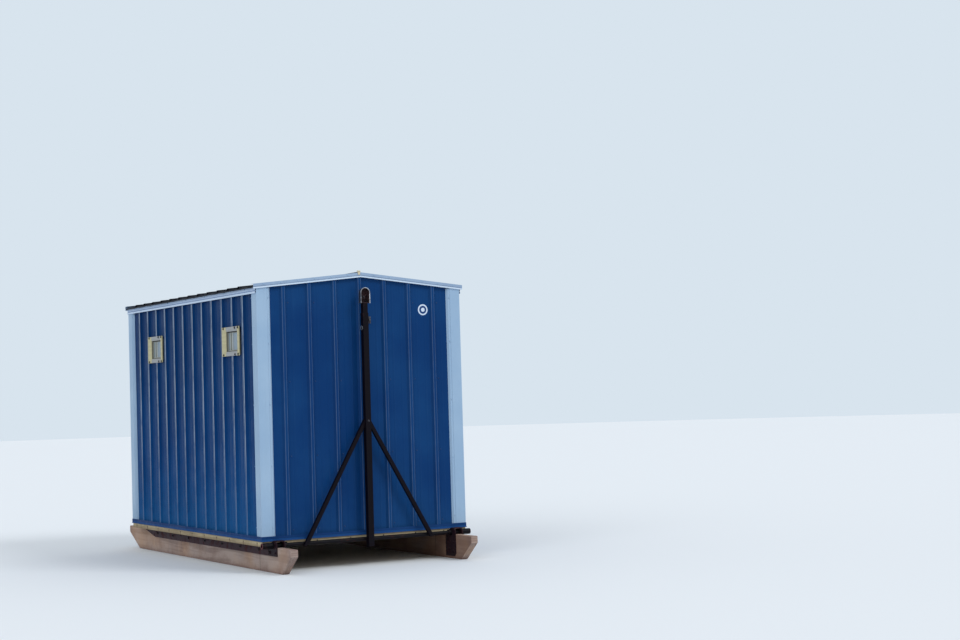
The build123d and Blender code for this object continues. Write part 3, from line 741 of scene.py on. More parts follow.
@dataclass(frozen=True)
class SocketSteel(Finish):
    """The pressed coupler: dark and rusty inside its mouth, with bright worn lips."""

    lip: Colour
    shell: Colour
    hollow: Colour
    rust: Colour
    mouth_x: float = -0.008
    mouth_z: float = 2.237
    mouth_half: float = 0.0375
    lip_level: float = -1.6535

    def lay(self, coat: Coat) -> None:
        """Lay the shell, its bright lips and its dark hollow.

        Args:
            coat: The coat to work on.
        """
        w, xyz = coat.wires, coat.xyz
        aside = xyz["X"] - self.mouth_x
        above = w.maths("MAXIMUM", 0.0, xyz["Z"] - self.mouth_z)
        away = w.maths("SQRT", aside * aside + above * above)
        inside = away.ramp(self.mouth_half - 0.0005, self.mouth_half + 0.0007, 1.0, 0.0)
        front = xyz["Y"].step(self.lip_level, 0.001, 1.0, 0.0)
        wear_and_highlight = coat.noise(38.0, 4.0, 0.6).ramp(0.42, 0.6, 0.3, 1.0)
        bloom = EFFECTS.rust.read(coat.place, Size=26.0, Amount=0.42)
        coat.ground(front * wear_and_highlight * aside.ramp(-0.02, 0.03, 0.35, 1.0), self.shell, self.lip)
        coat.tint(bloom["Mask"] * 0.7, self.rust)
        coat.tint(inside, w.blend(bloom["Tone"], self.hollow, self.rust))
        bright = 1.0 - inside
        coat.seal(bright.ramp(0.0, 1.0, 0.85, 0.4), bloom["Pit"], 0.0008, metal=bright * 0.7)


@dataclass(frozen=True)
class WindowBoards(Finish):
    """A window's boards: cream stiles, greyer rails between them, a grey metal sash behind."""

    stile: Colour
    rail: Colour
    sash: Colour
    grime: Colour
    pane_ys: tuple[float, float] = (-1.0324, 0.7964)
    pane_half: float = 0.118
    sash_level: float = 0.9285

    def lay(self, coat: Coat) -> None:
        """Lay the boards by their places, with the joints between them.

        Args:
            coat: The coat to work on.
        """
        w = coat.wires
        beside = w.maths("MINIMUM", *(abs(coat.xyz["Y"] - y) for y in self.pane_ys))
        between = beside.ramp(self.pane_half - 0.0015, self.pane_half + 0.0005, 1.0, 0.0)
        grain = EFFECTS.grain.read(w.stretched(coat.place, (1.0, 2.4, 0.6)), Across=0.0)
        coat.ground(between, self.stile, self.rail)
        coat.tint(grain["Tone"] * 0.3, self.grime)
        coat.tint(beside.near(self.pane_half, 0.0006, 0.0016, 0.75), self.grime)
        coat.wear(EFFECTS.rub, self.stile, Width=0.004, Amount=0.4)
        coat.wear(EFFECTS.fleck, self.grime, 0.5, Size=46.0, Amount=0.25)
        deep = abs(coat.xyz["X"]).step(self.sash_level, 0.0005, 1.0, 0.0)
        coat.tint(deep, self.sash)
        coat.seal(grain["Fibre"].ramp(0.2, 0.8, 0.5, 0.7), grain["Fibre"] * (1.0 - deep), 0.0008, 0.3)


@dataclass(frozen=True)
class BrushedPaint(Finish):
    """Brush-painted boards with the grain showing through, and, where set, painted shade on their outer edges."""

    paint: Colour
    bare: Colour
    gloss: float = 0.5
    shade_past: float | None = None
    dark: Colour = (22, 24, 32)

    def lay(self, coat: Coat) -> None:
        """Lay the paint and wear it through.

        Args:
            coat: The coat to work on.
        """
        grain = EFFECTS.grain.read(coat.place, Across=0.0)
        coat.ground(grain["Tone"] * 0.25, self.paint, self.bare)
        coat.wear(EFFECTS.rub, self.bare, Width=0.004, Amount=0.7)
        coat.wear(EFFECTS.fleck, self.bare, 0.7, Size=46.0, Amount=0.35)
        # Painted shade: the boards go dark past the given x, where the eaves shade their edges.
        if self.shade_past is not None:
            coat.tint(abs(coat.xyz["X"]).step(self.shade_past, 0.001), self.dark)
        coat.seal(grain["Fibre"].ramp(0.2, 0.8, self.gloss, self.gloss + 0.2), grain["Fibre"], 0.0008)


@dataclass(frozen=True)
class FrostedPane(Finish):
    """Window glass that is hazed over with frost."""

    tint: Colour
    frost: Colour

    def lay(self, coat: Coat) -> None:
        """Lay the haze on the glass.

        Args:
            coat: The coat to work on.
        """
        haze = coat.noise(12.0, 5.0, 0.6).ramp(0.3, 0.75)
        coat.ground(haze, self.tint, self.frost)
        coat.set({"Transmission Weight": 0.3, "IOR": 1.45})
        coat.seal(0.3 + haze * 0.25, coat.noise(300.0), 0.0003)


@dataclass(frozen=True)
class SoftFoam(Finish):
    """Foam, rubber or plastic with fine pores."""

    colour: Colour
    dark: Colour
    rough: float = 0.85

    def lay(self, coat: Coat) -> None:
        """Lay the colour and its pores.

        Args:
            coat: The coat to work on.
        """
        pores = coat.noise(500.0)
        coat.ground(pores.ramp(0.35, 0.7), self.colour, self.dark)
        coat.seal(pores.ramp(0.3, 0.7, self.rough - 0.1, self.rough), pores, 0.001)


GRIME = (58, 82, 110)
# GABLE_LINE is the pale blue of the painted highlight lines on the gable's rib crests and of worn edges.
GABLE_LINE = (122, 142, 170)
BOARD_BARE = (168, 146, 112)
BOARD_WHITE = (204, 192, 168)


class Look(Enum):
    """The hut's finishes."""

    # The side and gable sheets are one steel in two materials, which differ mainly in their painted highlights,
    # painted light and painted shade.
    SIDE_SHEET = CoilPaint(
        "Blue_side_sheet",
        (4, 53, 106),
        (10, 63, 118),
        # Pale colour of worn edges, also of the painted highlight lines on the rib crests.
        (170, 186, 202),
        # Lighter blue, laid low on the wall as painted light from below, and in the faint streaks.
        (32, 95, 148),
        mirror=0.04,
        streaks=0.08,
        # A strong, tall band of painted light from below.
        splash=0.55,
        splash_and_light_reach=1.3,
        edge_rub=0.08,
        # Painted highlight lines on the rib crests, fading towards the bottom.
        ribs=RibHighlight(RibRun.SIDE, SIDE_RIB_START, level=0.932, amount=1.0, spread=0.0048, low=0.28),
        # Painted shade: the wall darkens towards the top, under the eave.
        deep=(0, 38, 80),
    )
    GABLE_SHEET = CoilPaint(
        "Blue_gable_sheet",
        (8, 51, 102),
        (15, 60, 110),
        GABLE_LINE,
        (40, 86, 134),
        mirror=0.06,
        streaks=0.08,
        edge_rub=0.1,
        # Painted highlight lines on the rib crests, weaker than on the side walls.
        ribs=RibHighlight(RibRun.GABLE, GABLE_RIB_START, level=1.5585, amount=0.27, spread=0.0042),
    )
    PLAIN_BLUE = CoilPaint("Blue_flashing", (10, 50, 102), (18, 58, 110), GABLE_LINE, GRIME, mirror=0.1)
    FLASHING = CoilPaint(
        "Blue_base_flashing",
        (10, 52, 104),
        (18, 60, 112),
        (20, 68, 124),
        (8, 38, 84),
        mirror=0.1,
        edge_rub=0.1,
        # Painted highlight along the lower lip, painted shade in the crease above it.
        hem=(0.252, 0.0, 0.02),
    )
    # TRIM, RAKE and EAVE are one white steel, painted at different brightness for the light on each part: RAKE darker
    # as painted shade, EAVE lighter as painted light.
    TRIM = CoilPaint("White_trim", (143, 171, 199), (154, 180, 205), (186, 204, 221), (102, 126, 152))
    RAKE = CoilPaint(
        "White_rake_trim",
        (136, 158, 186),
        (146, 168, 194),
        (200, 217, 234),
        (74, 96, 128),
        edge_rub=0.15,
        # Painted highlight along the lower strip, painted shade in the crease above it.
        hem=(2.3694, ROOF_SLOPE, 0.014),
    )
    EAVE = CoilPaint(
        "White_eave_trim",
        (156, 178, 208),
        (166, 186, 215),
        (196, 213, 234),
        (74, 96, 130),
        edge_rub=0.15,
        # Painted highlight along the lower strip, painted shade in the crease above it.
        hem=(2.235, 0.0, 0.0145),
    )
    ROOF = CoilPaint(
        "Charcoal_roof_sheet", (9, 12, 21), (13, 17, 28), (50, 56, 70), (26, 31, 42), gloss=0.48, mirror=0.09
    )
    RUNNER = Plank(
        "Runner_timber",
        (164, 148, 140),
        (140, 125, 118),
        (116, 91, 84),
        (88, 54, 42),
        joint_at=-1.295,
        # Painted shade on the runners' inner faces, under the hut.
        shade_inside_x=0.7815,
        warm=(172, 136, 106),
    )
    RIM = Plank(
        "Rim_timber",
        (180, 167, 136),
        (152, 137, 110),
        (116, 102, 82),
        (74, 48, 40),
        wet_low=0.205,
        wet_reach=0.05,
        screw_level=RIM_SCREW_LEVEL,
    )
    PLYWOOD = Plank("Floor_plywood", (190, 164, 124), (160, 132, 94), (126, 106, 82), (92, 70, 54))
    LINING = BrushedPaint("Wall_lining", BOARD_WHITE, BOARD_BARE, 0.6)
    # Painted shade: the deck's outer edges, seen under the eaves, are dark.
    CEILING = BrushedPaint("Roof_deck_lining", BOARD_WHITE, BOARD_BARE, 0.6, shade_past=0.9)
    RAIL = BarSteel("Rusty_rail", (52, 31, 39), (60, 35, 40), (80, 50, 50), cover=0.5, mirror=0.1)
    BRACKET = BarSteel("Bracket_steel", (32, 19, 26), (44, 26, 31), (70, 42, 42), mirror=0.1)
    BLACK_BAR = BarSteel("Black_drawbar", (8, 4, 12), (26, 13, 18), (46, 28, 32), cover=0.32, mirror=0.1)
    PIPE = BarSteel("Pivot_steel", (10, 8, 14), (44, 26, 26), (96, 54, 44), cover=0.34, mirror=0.12, tip_at=0.9485)
    ZINC = ZincPlate("Zinc_plate", (176, 184, 192), (120, 126, 134), (70, 48, 42))
    DARK_PLATE = ZincPlate("Dark_plate", (92, 96, 106), (44, 44, 52), (30, 20, 24), cover=0.6)
    SOCKET = SocketSteel("Coupler_steel", (222, 232, 240), (70, 72, 80), (20, 10, 16), (58, 32, 36))
    WINDOW_BOARD = WindowBoards("Window_boards", (188, 182, 144), (156, 160, 164), (150, 153, 144), (112, 110, 96))
    DOOR_PAINT = BrushedPaint("White_door_paint", (188, 196, 204), (150, 150, 146))
    PANE = FrostedPane("Hazed_glass", (142, 163, 179), (156, 174, 188))
    FOAM = SoftFoam("Tan_closure_foam", (214, 204, 176), (186, 170, 138))
    RUBBER = SoftFoam("Black_rubber", (28, 28, 30), (40, 40, 42))
    SASH_BAR = BrushedPaint("Sash_bar_paint", (186, 190, 186), (150, 152, 144))
    BLACK_SCREW = SoftFoam("Black_screw", (8, 8, 10), (14, 13, 14), 0.6)
    OLD_SCREW = BarSteel("Dark_screw", (16, 15, 18), (40, 28, 28), (78, 54, 46), cover=0.3, bloom_size=80.0)
    STICKER = CoilPaint("White_sticker", (196, 212, 230), (206, 220, 234), (176, 190, 208), GRIME, streaks=0.05)
    FIELD = CoilPaint("Blue_sticker_field", (16, 54, 108), (24, 62, 116), (90, 116, 158), GRIME, streaks=0.05)

    @cached_property
    def material(self) -> bpy.types.Material:
        """The finish's material, made when it is first asked for."""
        return self.value.build()


class Head(Enum):
    """The forms of a fastener's head: how many sides it has, and its top as a share of its foot."""

    HEX = (6, 0.88)
    DOME = (10, 0.55)


@dataclass(frozen=True)
class Fastener:
    """A screw or bolt head: a washer with a tapered head on it."""

    washer_radius: float
    washer_thick: float
    head_radius: float
    head_thick: float
    head: Head = Head.HEX
    washer_sides: int = 12
    washer_taper: float = 0.82
    sunk: float = 0.0008
    turn: float = 0.7

    def shape(self) -> Shape:
        """Make one head, standing on the origin and pointing up.

        Returns:
            The shape.
        """
        shape = bmesh.new()
        thick, sunk = self.washer_thick, self.sunk
        washer = (self.washer_sides, self.washer_taper, self.washer_radius, thick + sunk, (thick - sunk) / 2)
        head = (*self.head.value, self.head_radius, self.head_thick, thick + self.head_thick / 2)
        for sides, taper, radius, depth, middle in (washer, head):
            bmesh.ops.create_cone(
                shape,
                cap_ends=True,
                segments=sides,
                radius1=radius,
                radius2=radius * taper,
                depth=depth,
                matrix=Matrix.Translation((0, 0, middle)),
            )
        return shape

    def row(self, seats: list[Seat]) -> Shape:
        """Put a head on each seat, each turned a little further than the one before.

        Args:
            seats: Points with the direction that each head stands out in.

        Returns:
            One shape with all the heads.
        """
        single = bpy.data.meshes.new("head")
        one = self.shape()
        one.to_mesh(single)
        one.free()
        shape = bmesh.new()
        for index, (point, outward) in enumerate(seats):
            first = len(shape.verts)
            shape.from_mesh(single)
            shape.verts.ensure_lookup_table()
            turn = outward.to_track_quat("Z", "Y").to_matrix().to_4x4() @ Matrix.Rotation(index * self.turn, 4, "Z")
            bmesh.ops.transform(shape, matrix=Matrix.Translation(point) @ turn, verts=shape.verts[first:])
        bpy.data.meshes.remove(single)
        return shape


SHEET_SCREW = Fastener(0.0075, 0.0015, 0.0042, 0.0045)
WOOD_SCREW = Fastener(0.0058, 0.0008, 0.0048, 0.0018, Head.DOME)
BOARD_SCREW = Fastener(0.0115, 0.0014, 0.0100, 0.0058, Head.DOME)
BRACE_BOLT = Fastener(0.0105, 0.002, 0.0075, 0.006)
FRAME_BOLT = Fastener(0.016, 0.003, 0.0105, 0.008)
LAG_BOLT = Fastener(0.013, 0.0025, 0.0085, 0.007)
CLAMP_NUT = Fastener(0.012, 0.002, 0.009, 0.008)

WIRE_SIDES = 10
BEAD_STEP = 0.9
BEAD_VARIES = (0.85, 1.15)
BEAD_FLAT = 0.75


def seat(x: float, y: float, z: float, out: Point | Vector) -> Seat:
    """A place for a fastener, and the way that it stands out."""
    return Vector((x, y, z)), Vector(out)


def spaced(start: float, pitch: float, count: int) -> list[float]:
    """Even places along a line."""
    return [start + pitch * index for index in range(count)]


def beside_ribs(start: float, count: int) -> list[float]:
    """The lines of screws in a ribbed sheet, one beside each tall rib."""
    return [rib + BESIDE_RIB for rib in spaced(start, RIB_PITCH, count)]


class Bench:
    """Turns shapes into pieces of the scene and dresses the frame's nodes."""

    def __init__(self) -> None:
        """Begin to count what is made."""
        self.count = 0

    def dress(self, look: Look, *nodes: str) -> None:
        """Give frame nodes a finish.

        Args:
            look: The finish.
            nodes: The nodes' names.
        """
        for name in nodes:
            node = FRAME["nodes"][name]
            if not node.material_slots:
                node.data.materials.append(look.material)
            for place in node.material_slots:
                place.material = look.material
            LOG.info("dressed %s", name)

    def piece(
        self, name: str, shape: Shape, look: Look, slot: str, body: Body = Body.HUT, smooth: bool = False
    ) -> None:
        """Make a piece from a shape in the row frame.

        Args:
            name: The piece's name.
            shape: Its shape, which is freed.
            look: Its finish.
            slot: The record's slot that it takes its finish from.
            body: The body that it rides on.
            smooth: Whether its faces are shaded smooth.
        """
        bmesh.ops.recalc_face_normals(shape, faces=shape.faces)
        mesh = bpy.data.meshes.new(name)
        shape.to_mesh(mesh)
        shape.free()
        for face in mesh.polygons:
            face.use_smooth = smooth
        mesh.materials.append(look.material)
        made = bpy.data.objects.new(name, mesh)
        bpy.context.scene.collection.objects.link(made)
        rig.ride(made, body.value)
        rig.slot(made, slot)
        self.count += 1
        LOG.info("made %s with %d faces", name, len(mesh.polygons))


def edges_at(verts: list[bmesh.types.BMVert]) -> list[bmesh.types.BMEdge]:
    """The edges that meet some corners."""
    return list({edge for vert in verts for edge in vert.link_edges})


def block(shape: Shape, xs: Span, ys: Span, zs: Span, arris: float = 0.0) -> None:
    """Add a bar, its arrises eased.

    Args:
        shape: The shape to add to.
        xs: Its two ends in X, in either order.
        ys: Its two ends in Y, in either order.
        zs: Its two ends in Z, in either order.
        arris: How far the edges are bevelled.
    """
    spans = [sorted(span) for span in (xs, ys, zs)]
    size = [high - low for low, high in spans]
    middle = [(low + high) / 2 for low, high in spans]
    matrix = Matrix.Translation(middle) @ Matrix.Diagonal((*size, 1.0))
    made = bmesh.ops.create_cube(shape, size=1.0, matrix=matrix)
    if arris > 0:
        edges = edges_at(made["verts"])
        bmesh.ops.bevel(shape, geom=edges, offset=arris, affect="EDGES", segments=2, profile=0.5, material=-1)


def ring(shape: Shape, matrix: Matrix, radius: float, wire: float, steps: int = 32) -> None:
    """Add a ring of round wire about the matrix's Z axis.

    Args:
        shape: The shape to add to.
        matrix: The ring's place.
        radius: To the wire's middle.
        wire: The wire's radius.
        steps: Segments round the ring.
    """
    upright = matrix @ Matrix.Translation((radius, 0, 0)) @ Matrix.Rotation(math.pi / 2, 4, "X")
    made = bmesh.ops.create_circle(shape, segments=WIRE_SIDES, radius=wire, matrix=upright)
    bmesh.ops.spin(
        shape,
        geom=made["verts"] + edges_at(made["verts"]),
        cent=matrix.translation,
        axis=(matrix.to_3x3() @ Vector((0, 0, 1))).normalized(),
        angle=math.tau,
        steps=steps,
        use_merge=True,
        use_duplicate=False,
    )


def weld(shape: Shape, start: Vector, run: Vector, size: float, seed: int) -> None:
    """Add a weld bead as overlapping ripples along a line.

    Args:
        shape: The shape to add to.
        start: Where the bead starts.
        run: How far it goes, and which way.
        size: The bead's radius.
        seed: Seed for the ripples' small differences.
    """
    pick = random.Random(seed)
    steps = max(2, round(run.length / (size * BEAD_STEP)))
    turn = run.to_track_quat("Z", "Y").to_matrix().to_4x4()
    for index in range(steps + 1):
        point = start + run * (index / steps)
        scale = size * pick.uniform(*BEAD_VARIES)
        matrix = Matrix.Translation(point) @ turn @ Matrix.Diagonal((scale, scale, scale * BEAD_FLAT, 1.0))
        bmesh.ops.create_icosphere(shape, subdivisions=1, radius=1.0, matrix=matrix)


@dataclass
class Cladding:
    """The ribbed sheets on the walls, with the screws that hold them."""

    rows: tuple[float, ...] = (0.33, 0.92, 1.52, 2.16)
    side_flat: float = 0.913
    gable_flat: float = 1.5395
    door_half: float = 0.43

    def build(self, bench: Bench) -> None:
        """Dress the sheets and screw them on.

        Args:
            bench: The bench to work at.
        """
        bench.dress(Look.SIDE_SHEET, "siding_left", "siding_right")
        bench.dress(Look.GABLE_SHEET, "siding_front", "siding_rear")
        bench.dress(Look.FLASHING, "base_trim")
        for wall in (*Hand, *Gable):
            screws = SHEET_SCREW.row(self.seats(wall))
            bench.piece(f"siding_screws_{wall.name.lower()}", screws, Look.PLAIN_BLUE, "blue_steel")

    def seats(self, wall: Hand | Gable) -> list[Seat]:
        """Screw places on one wall, beside the ribs and clear of the door.

        Args:
            wall: The wall.

        Returns:
            The places.
        """
        if isinstance(wall, Hand):
            face = wall.value * self.side_flat
            return [seat(face, y, z, wall.out) for y in beside_ribs(SIDE_RIB_START, SIDE_RIBS) for z in self.rows]
        xs = beside_ribs(GABLE_RIB_START, GABLE_RIBS)
        if wall is Gable.REAR:
            xs = [x for x in xs if abs(x) > self.door_half]
        return [seat(x, wall.value * self.gable_flat, z, wall.out) for x in xs for z in self.rows]


@dataclass
class RoofAndTrims:
    """The roof sheets, the folded white trims, the ridge cap and their fixings."""

    half_width: float = 0.9335
    half_length: float = 1.56
    eave: float = 2.290
    sheet_thick: float = 0.0015
    sheet_xs: tuple[float, ...] = (0.14, 0.5, 0.87)
    trim_proud: float = 0.009
    rake_row: Run = (0.12, 0.15, 6)
    rake_rise: float = 0.012
    fascia_row: Run = (-1.35, 0.45, 7)
    fascia_drop: float = 0.016
    corner_zs: tuple[float, ...] = (0.36, 0.85, 1.34, 1.83, 2.2)
    corner_back: float = 0.005
    corner_front_inset: float = 0.102
    corner_side_inset: float = 0.104
    closure_xs: Span = (-0.032, -0.005)
    closure_zs: tuple[float, float, float] = (2.390, 2.4102, 2.425)
    closure_ys: tuple[float, float, float] = (1.556, 1.5713, 1.5745)
    closure_arris: float = 0.003
    lap_insets: Span = (0.003, 0.004)
    lap_arris: float = 0.0008
    lap_overlap: float = 0.006

    def roof_height(self, x: float) -> float:
        """Height of the roof sheet's flat underside over x."""
        return self.eave + (self.half_width - abs(x)) * ROOF_SLOPE

    def build(self, bench: Bench) -> None:
        """Dress the roof and trims and add their fixings.

        Args:
            bench: The bench to work at.
        """
        corners = [f"corner_{end.name.lower()}_{hand.name.lower()}" for end in Gable for hand in Hand]
        bench.dress(Look.ROOF, "roof_sheet_left", "roof_sheet_right", "ridge_cap")
        bench.dress(Look.TRIM, *corners)
        bench.dress(Look.EAVE, "fascia_left", "fascia_right")
        bench.dress(Look.RAKE, "rake_trim_front", "rake_trim_rear")
        bench.dress(Look.CEILING, "roof_deck")
        for hand in Hand:
            screws = SHEET_SCREW.row(self.roof_seats(hand))
            bench.piece(f"roof_screws_{hand.name.lower()}", screws, Look.ROOF, "roof_steel")
        bench.piece("trim_screws", SHEET_SCREW.row(self.trim_seats()), Look.TRIM, "white_trim")
        bench.piece("ridge_closures", self.closures(), Look.FOAM, "rim_timber")

    def roof_seats(self, hand: Hand) -> list[Seat]:
        """Screw places on one slope, in the flats beside the ribs.

        Args:
            hand: The slope's side.

        Returns:
            The places.
        """
        outward = Vector((hand.value * ROOF_SLOPE, 0, 1)).normalized()
        spots = [(x, y) for y in beside_ribs(SIDE_RIB_START, SIDE_RIBS) for x in self.sheet_xs]
        return [seat(hand.value * x, y, self.roof_height(x) + self.sheet_thick, outward) for x, y in spots]

    def trim_seats(self) -> list[Seat]:
        """Screw places on the rake trims, fascias and corner trims.

        Returns:
            The places.
        """
        seats = []
        rake_y, fascia_x = self.half_length + self.trim_proud, self.half_width + self.trim_proud
        for end in Gable:
            for x in spaced(*self.rake_row):
                z = self.roof_height(x) + self.rake_rise
                seats += [seat(hand.value * x, end.value * rake_y, z, end.out) for hand in Hand]
        for hand in Hand:
            z = self.eave - self.fascia_drop
            seats += [seat(hand.value * fascia_x, y, z, hand.out) for y in spaced(*self.fascia_row)]
            side_x = hand.value * (self.half_width - self.corner_back)
            front_x = hand.value * (self.half_width - self.corner_front_inset)
            for end in Gable:
                front_y = end.value * (self.half_length - self.corner_back)
                side_y = end.value * (self.half_length - self.corner_side_inset)
                for z in self.corner_zs:
                    seats += [seat(front_x, front_y, z, end.out), seat(side_x, side_y, z, hand.out)]
        return seats

    def closures(self) -> Shape:
        """The foam closure that stands on each rake's apex and laps over its face.

        Returns:
            Their shape.
        """
        shape = bmesh.new()
        left, right = self.closure_xs
        lap, base, top = self.closure_zs
        lap_xs = (left + self.lap_insets[0], right - self.lap_insets[1])
        for end in Gable:
            inner, face, outer = (end.value * y for y in self.closure_ys)
            block(shape, self.closure_xs, (inner, outer), (base, top), self.closure_arris)
            block(shape, lap_xs, (face, outer), (lap, base + self.lap_overlap), self.lap_arris)
        return shape


@dataclass
class Windows:
    """Four small windows: boards on the ribs, hazed panes, screws, seals that also stand in for painted shadow, and
    the second sash bar.
    """

    screw_inset: float = 0.011
    screw_shares: tuple[float, float, float] = (0.05, 0.23, 0.89)
    pane_shift: float = -0.024
    pane_half: Span = (0.118, 0.083)
    sash_back: float = 0.016
    sash_thick: float = 0.008
    bar_ys: Span = (0.013, 0.025)
    bar_sunk: float = 0.0003
    bar_thick: float = 0.005
    bar_short: float = 0.0118
    bar_arris: float = 0.0008
    seal: float = 0.005
    # The wider top strip is dark seal and painted shadow under the top board.
    top_seal: float = 0.009
    seal_sunk: float = 0.0004
    seal_thick: float = 0.0024

    def build(self, bench: Bench) -> None:
        """Dress each window and add its screws, its seal, which also stands in for painted shadow, and its bar.

        Args:
            bench: The bench to work at.
        """
        bench.dress(Look.PANE, "glass_left", "glass_right")
        for hand in Hand:
            for place in ("front", "rear"):
                node = f"window_{hand.name.lower()}_{place}"
                bench.dress(Look.WINDOW_BOARD, node)
                screws = BOARD_SCREW.row(self.screw_seats(node, hand))
                bench.piece(f"{node}_screws", screws, Look.BLACK_SCREW, "rust_steel")
                bench.piece(f"{node}_seal", self.seals(node, hand), Look.RUBBER, "rust_steel")
                bench.piece(f"{node}_bar", self.sash_bar(node, hand), Look.SASH_BAR, "zinc_steel")

    def middle(self, node: str, hand: Hand) -> Point:
        """The x of a window's outer face, and its pane's middle in y and z."""
        low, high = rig.box(node)
        return high.x if hand is Hand.RIGHT else low.x, (low.y + high.y) / 2 + self.pane_shift, (low.z + high.z) / 2

    def screw_seats(self, node: str, hand: Hand) -> list[Seat]:
        """Three screws along the board's top edge and three along its bottom edge.

        Args:
            node: The window's node.
            hand: Its side of the hut.

        Returns:
            Their places.
        """
        low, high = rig.box(node)
        face = self.middle(node, hand)[0]
        ys = [low.y + (high.y - low.y) * share for share in self.screw_shares]
        return [seat(face, y, z, hand.out) for y in ys for z in (low.z + self.screw_inset, high.z - self.screw_inset)]

    def seals(self, node: str, hand: Hand) -> Shape:
        """The dark seal that runs round the sash, against the board's opening; widest at the top, it also stands in
        for painted shadow in the opening.

        Args:
            node: The window's node.
            hand: Its side of the hut.

        Returns:
            The seal's shape.
        """
        face, y, z = self.middle(node, hand)
        back = face - hand.value * (self.sash_back + self.seal_sunk)
        depth = (back, back + hand.value * self.seal_thick)
        half_wide, half_tall = self.pane_half
        shape = bmesh.new()
        # Dark strips that are partly seal and partly painted shadow; the top one is the widest.
        for side, tall in ((-1, self.seal), (1, self.top_seal)):
            upright = (y + side * half_wide, y + side * (half_wide - self.seal))
            block(shape, depth, upright, (z - half_tall, z + half_tall))
            level = (z + side * half_tall, z + side * (half_tall - tall))
            block(shape, depth, (y - half_wide + self.seal, y + half_wide - self.seal), level)
        return shape

    def sash_bar(self, node: str, hand: Hand) -> Shape:
        """The sliding sash's slim bar beside the stile, standing on the glass.

        Args:
            node: The window's node.
            hand: Its side of the hut.

        Returns:
            The bar's shape.
        """
        face, y, z = self.middle(node, hand)
        glass = face - hand.value * (self.sash_back + self.sash_thick)
        depth = (glass - hand.value * self.bar_sunk, glass + hand.value * self.bar_thick)
        tall = self.pane_half[1] - self.bar_short
        shape = bmesh.new()
        block(shape, depth, (y + self.bar_ys[0], y + self.bar_ys[1]), (z - tall, z + tall), self.bar_arris)
        return shape


@dataclass
class RearDoor:
    """The plain door in the rear gable."""

    casing_face: float = 1.5665
    side_inset: float = 0.02
    top_inset: float = 0.1
    rises: tuple[float, ...] = (0.1, 0.6, 1.15)

    def build(self, bench: Bench) -> None:
        """Dress the door and screw its casing on.

        Args:
            bench: The bench to work at.
        """
        bench.dress(Look.DOOR_PAINT, "door_leaf", "door_frame")
        low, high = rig.box("door_frame")
        zs = (*(low.z + rise for rise in self.rises), high.z - self.top_inset)
        xs = (low.x + self.side_inset, high.x - self.side_inset)
        seats = [seat(x, self.casing_face, z, Gable.REAR.out) for z in zs for x in xs]
        bench.piece("door_casing_screws", WOOD_SCREW.row(seats), Look.OLD_SCREW, "rust_steel")


@dataclass
class RunningGear:
    """Timber runners, steel rails, pivot brackets and the floor frame, with their bolts."""

    steel_face: float = 0.8505
    rail_row: Run = (-1.3, 0.4, 7)
    rail_level: float = 0.173
    cheek_inner: float = 0.7725
    cheek_ys: Span = (-1.628, -1.52)
    cheek_level: float = 0.162
    inner_levels: Span = (0.06, 0.14)
    rim_face: float = 0.9295
    rim_end: float = 1.556
    rim_screws: int = 11
    rim_end_xs: tuple[float, ...] = (-0.72, -0.45, -0.15, 0.15, 0.45, 0.72)

    def build(self, bench: Bench) -> None:
        """Dress the gear and add its bolts and screws.

        Args:
            bench: The bench to work at.
        """
        bench.dress(Look.RUNNER, "skid_left", "skid_right")
        bench.dress(Look.RAIL, "rail_left", "rail_right")
        bench.dress(Look.BRACKET, "bracket_left", "bracket_right")
        bench.dress(Look.RIM, "floor_frame")
        bench.dress(Look.PLYWOOD, "floor_deck")
        bench.dress(Look.LINING, "wall_front", "wall_rear", "wall_left", "wall_right")
        bench.piece("rail_bolts", LAG_BOLT.row(self.rail_seats()), Look.OLD_SCREW, "rust_steel")
        bench.piece("bracket_bolts", FRAME_BOLT.row(self.bracket_seats()), Look.BRACKET, "rust_steel")
        bench.piece("rim_screws", WOOD_SCREW.row(self.rim_seats()), Look.OLD_SCREW, "rust_steel")

    def rail_seats(self) -> list[Seat]:
        """Lag bolts through the upright leg of each rail."""
        ys, z = spaced(*self.rail_row), self.rail_level
        return [seat(hand.value * self.steel_face, y, z, hand.out) for hand in Hand for y in ys]

    def bracket_seats(self) -> list[Seat]:
        """Bolts through the bracket cheeks: one level outside, two on the deeper inner cheek.

        Returns:
            Their places.
        """
        seats = []
        for hand in Hand:
            outer, inner, inward = hand.value * self.steel_face, hand.value * self.cheek_inner, (-hand.value, 0, 0)
            for y in self.cheek_ys:
                seats.append(seat(outer, y, self.cheek_level, hand.out))
                seats += [seat(inner, y, z, inward) for z in self.inner_levels]
        return seats

    def rim_seats(self) -> list[Seat]:
        """Dark screws along the rim planks.

        Returns:
            Their places.
        """
        z, ys = RIM_SCREW_LEVEL, spaced(RIM_SCREW_START, RIM_SCREW_PITCH, self.rim_screws)
        sides = [seat(hand.value * self.rim_face, y, z, hand.out) for y in ys for hand in Hand]
        ends = [seat(x, end.value * self.rim_end, z, end.out) for end in Gable for x in self.rim_end_xs]
        return sides + ends


